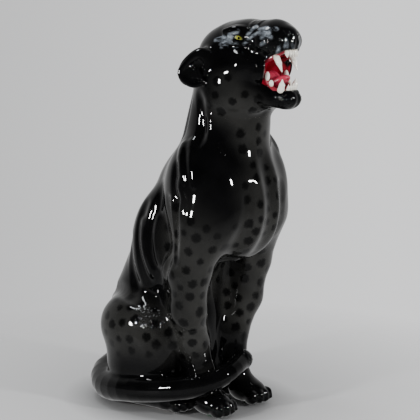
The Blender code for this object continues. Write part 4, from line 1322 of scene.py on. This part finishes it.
def soft_pieces(felt, rubber):
    def trimmed(radius, height, angle):
        return radius + (0.12 * math.sin(37 * angle) * math.sin(11 * angle) if radius > 5 else 0)

    fitting("base_felt_pad", "base_felt", felt,
            [(0, 1.5), (20, 1.5), (36.6, 1.5), (37, 1.1), (36.9, 0.3), (36.6, 0), (20, 0), (0, 0)],
            place=(0, 22, 0), steps=144, ease=0.2, shape=trimmed, squash=(1, 44 / 37))
    for name, side in (("left", 1), ("right", -1)):
        fitting(f"paw_felt_{name}_pad", f"paw_felt_{name}", felt,
                [(0, 1.5), (4, 1.5), (6.2, 1.5), (6.5, 1.1), (6.2, 0), (4, 0), (0, 0)],
                place=(side * 27.5, -57, 0), ease=0.2, shape=trimmed)
    fitting("cord_grommet_moulded", "cord_grommet", rubber,
            [(5.8, 2.5), (7.0, 1.6), (7.0, 0.3), (4.3, 0.3), (4.3, -9), (2.7, -9), (2.7, 1.4), (3.5, 2.5)],
            place=(CORD_HOLE[0], GROMMET_SEAT_Y, CORD_HOLE[1]), direction=(0, 1, 0), steps=72, ease=0.35)


def hardware():
    steel = metal_material("zinc_steel", (0.55, 0.56, 0.57), (0.26, 0.25, 0.23), 0.34)
    brass = metal_material("brass", (0.62, 0.42, 0.16), (0.24, 0.13, 0.05), 0.3, (1, 1, 14))
    tungsten = metal_material("tungsten", (0.2, 0.2, 0.2), (0.08, 0.08, 0.09), 0.4)
    bakelite = plain_material("bakelite", (0.030, 0.017, 0.012), (0.052, 0.028, 0.018), 0.28, 120, 600,
                              0.00008, coat=0.35)
    fibre = plain_material("fibre_paper", (0.34, 0.22, 0.11), (0.48, 0.34, 0.19), 0.86, 160, 1600, 0.00025)
    rubber = plain_material("rubber", (0.018, 0.018, 0.018), (0.034, 0.033, 0.032), 0.75, 200, 1200,
                            0.00012)
    felt = plain_material("felt", (0.030, 0.052, 0.036), (0.062, 0.098, 0.070), 0.96, 700, 2600, 0.0005)
    glass = glass_material()
    pipe_fittings(steel, brass)
    cap_and_core(steel, brass, bakelite)
    shells(brass, fibre)
    key_pieces(brass, bakelite)
    bulb_pieces(steel, brass, bakelite, glass, tungsten)
    soft_pieces(felt, rubber)


# ------------------------------------------------------------------------------ camera and studio

CAMERA_PLACE = (-1.0265, -0.8613, 0.410)
CAMERA_TARGET = (0.0154, -0.0184, 0.1865)
CAMERA_LENS = 121.0
CAMERA_RIGHT = (0.643, -0.766, 0)
BEHIND = (0.777, 0.629, -0.25)
LIGHT_AIM = (0, -0.03, 0.22)
LIGHT_REACH = 1.35


def look_at(item, target):
    direction = Vector(target) - item.location
    item.rotation_mode = "QUATERNION"
    item.rotation_quaternion = direction.to_track_quat("-Z", "Y")


def camera():
    data = bpy.data.cameras.new("camera")
    data.lens = CAMERA_LENS
    data.sensor_width = 36
    data.clip_start, data.clip_end = 0.05, 60
    item = link("camera", data)
    item.location = CAMERA_PLACE
    look_at(item, CAMERA_TARGET)
    bpy.context.scene.camera = item


def area_light(name, place, target, size, watts, colour=(1, 1, 1)):
    data = bpy.data.lights.new(name, "AREA")
    data.shape = "RECTANGLE"
    data.size, data.size_y = size
    data.energy = watts
    data.color = colour
    item = link(name, data)
    item.location = place
    look_at(item, target)


def studio():
    """Two softboxes for the highlights, a small one above, and a world that each kind of ray sees
    differently: a pale backdrop for the camera, even light for paint, dark glows for the glaze."""
    for name, azimuth, rise, watts in (("left_softbox", -103, 12, 13), ("right_softbox", 6, 15, 13)):
        turn, lift = math.radians(azimuth), math.radians(rise)
        away = Vector((math.sin(turn) * math.cos(lift), -math.cos(turn) * math.cos(lift),
                       math.sin(lift)))
        area_light(name, Vector(LIGHT_AIM) + away * LIGHT_REACH, LIGHT_AIM, (0.10, 0.17), watts)
    area_light("overhead_softbox", (-0.1, 0.5, 1.7), (0, 0, 0.1), (0.28, 0.28), 4, (0.93, 0.97, 1.0))
    world = bpy.data.worlds.new("studio")
    bpy.context.scene.world = world
    world.use_nodes = True
    paint = Paint(world.node_tree)
    paint.nodes.clear()
    way = paint.place("Generated")
    parts = paint.add("ShaderNodeSeparateXYZ", "Z", {0: way})
    behind = paint.ramp(paint.vector("DOT_PRODUCT", "Value", way, BEHIND), -0.15, 0.95, 0.006, 0.62)
    horizon = paint.ramp(parts, -0.05, 0.42, 0.055, 0.0)
    glow = paint.maths("MAXIMUM", behind, horizon)
    across = paint.vector("DOT_PRODUCT", "Value", way, CAMERA_RIGHT)
    seen = paint.add("ShaderNodeBackground", 0, {
        "Color": (0.985, 0.99, 1.0), "Strength": paint.ramp(across, -0.14, 0.14, 0.78, 1.12)})
    ray = paint.nodes.new("ShaderNodeLightPath")
    lit = paint.add("ShaderNodeBackground", 0, {
        "Color": paint.mix(ray.outputs["Is Diffuse Ray"], glow, (0.85, 0.85, 0.85))})
    both = paint.add("ShaderNodeMixShader", 0, {"Fac": ray.outputs["Is Camera Ray"], 1: lit, 2: seen})
    output = paint.nodes.new("ShaderNodeOutputWorld")
    paint.feed(output.inputs["Surface"], both)


FLOOR_RADIUS = 1.5


def floor():
    """A pale floor with a painted contact shadow close to the lamp, that fades out further off so no horizon
    shows.
    """
    bm = bmesh.new()
    bmesh.ops.create_circle(bm, cap_ends=True, segments=96, radius=FLOOR_RADIUS)
    mesh = mesh_from("floor", bm)
    paint = Surface("pale_floor")
    place = paint.place("Object")
    # Painted contact shadow: the floor's colour darkens inside an ellipse round the lamp's footprint.
    footprint = paint.vector("MULTIPLY_ADD", 0, place, (1 / 0.076, 1 / 0.086, 0), (0, -0.06, 0))
    painted_contact_shadow = paint.ramp(paint.vector("LENGTH", "Value", footprint), 0.95, 1.45, 0.45, 1.0)
    pale = paint.mix(paint.noise(3, 2), (0.55, 0.555, 0.56), (0.58, 0.58, 0.585))
    length = paint.vector("LENGTH", "Value", place)
    seen = paint.ramp(length, 0.13, 0.42, 1.0, 0.0)
    mirrored_share = paint.ramp(length, 0.10, 0.9, 0.24, 0.0)
    ray = paint.nodes.new("ShaderNodeLightPath")
    material = paint.finish(paint.mix(painted_contact_shadow, (0, 0, 0), pale), 0.6, {
        "Alpha": paint.mix(ray.outputs["Is Glossy Ray"], seen, mirrored_share)})
    item = link("floor", mesh, material)
    item.location.z = -0.0002


# ------------------------------------------------------------------------------ put together

camera()
studio()
floor()
GLAZE = glaze_material()
BISQUE = bisque_material()
finish_casting("cat_body", Casting(False), (-84, -128, -6), (84, 98, 292), BODY_STEP, "body_casting",
               GLAZE, BISQUE)
finish_casting("cat_head", Casting(True), (-60, -140, 276), (60, 4, 376), HEAD_STEP, "head_casting",
               GLAZE, BISQUE)
mouth_pieces()
eyes()
hardware()
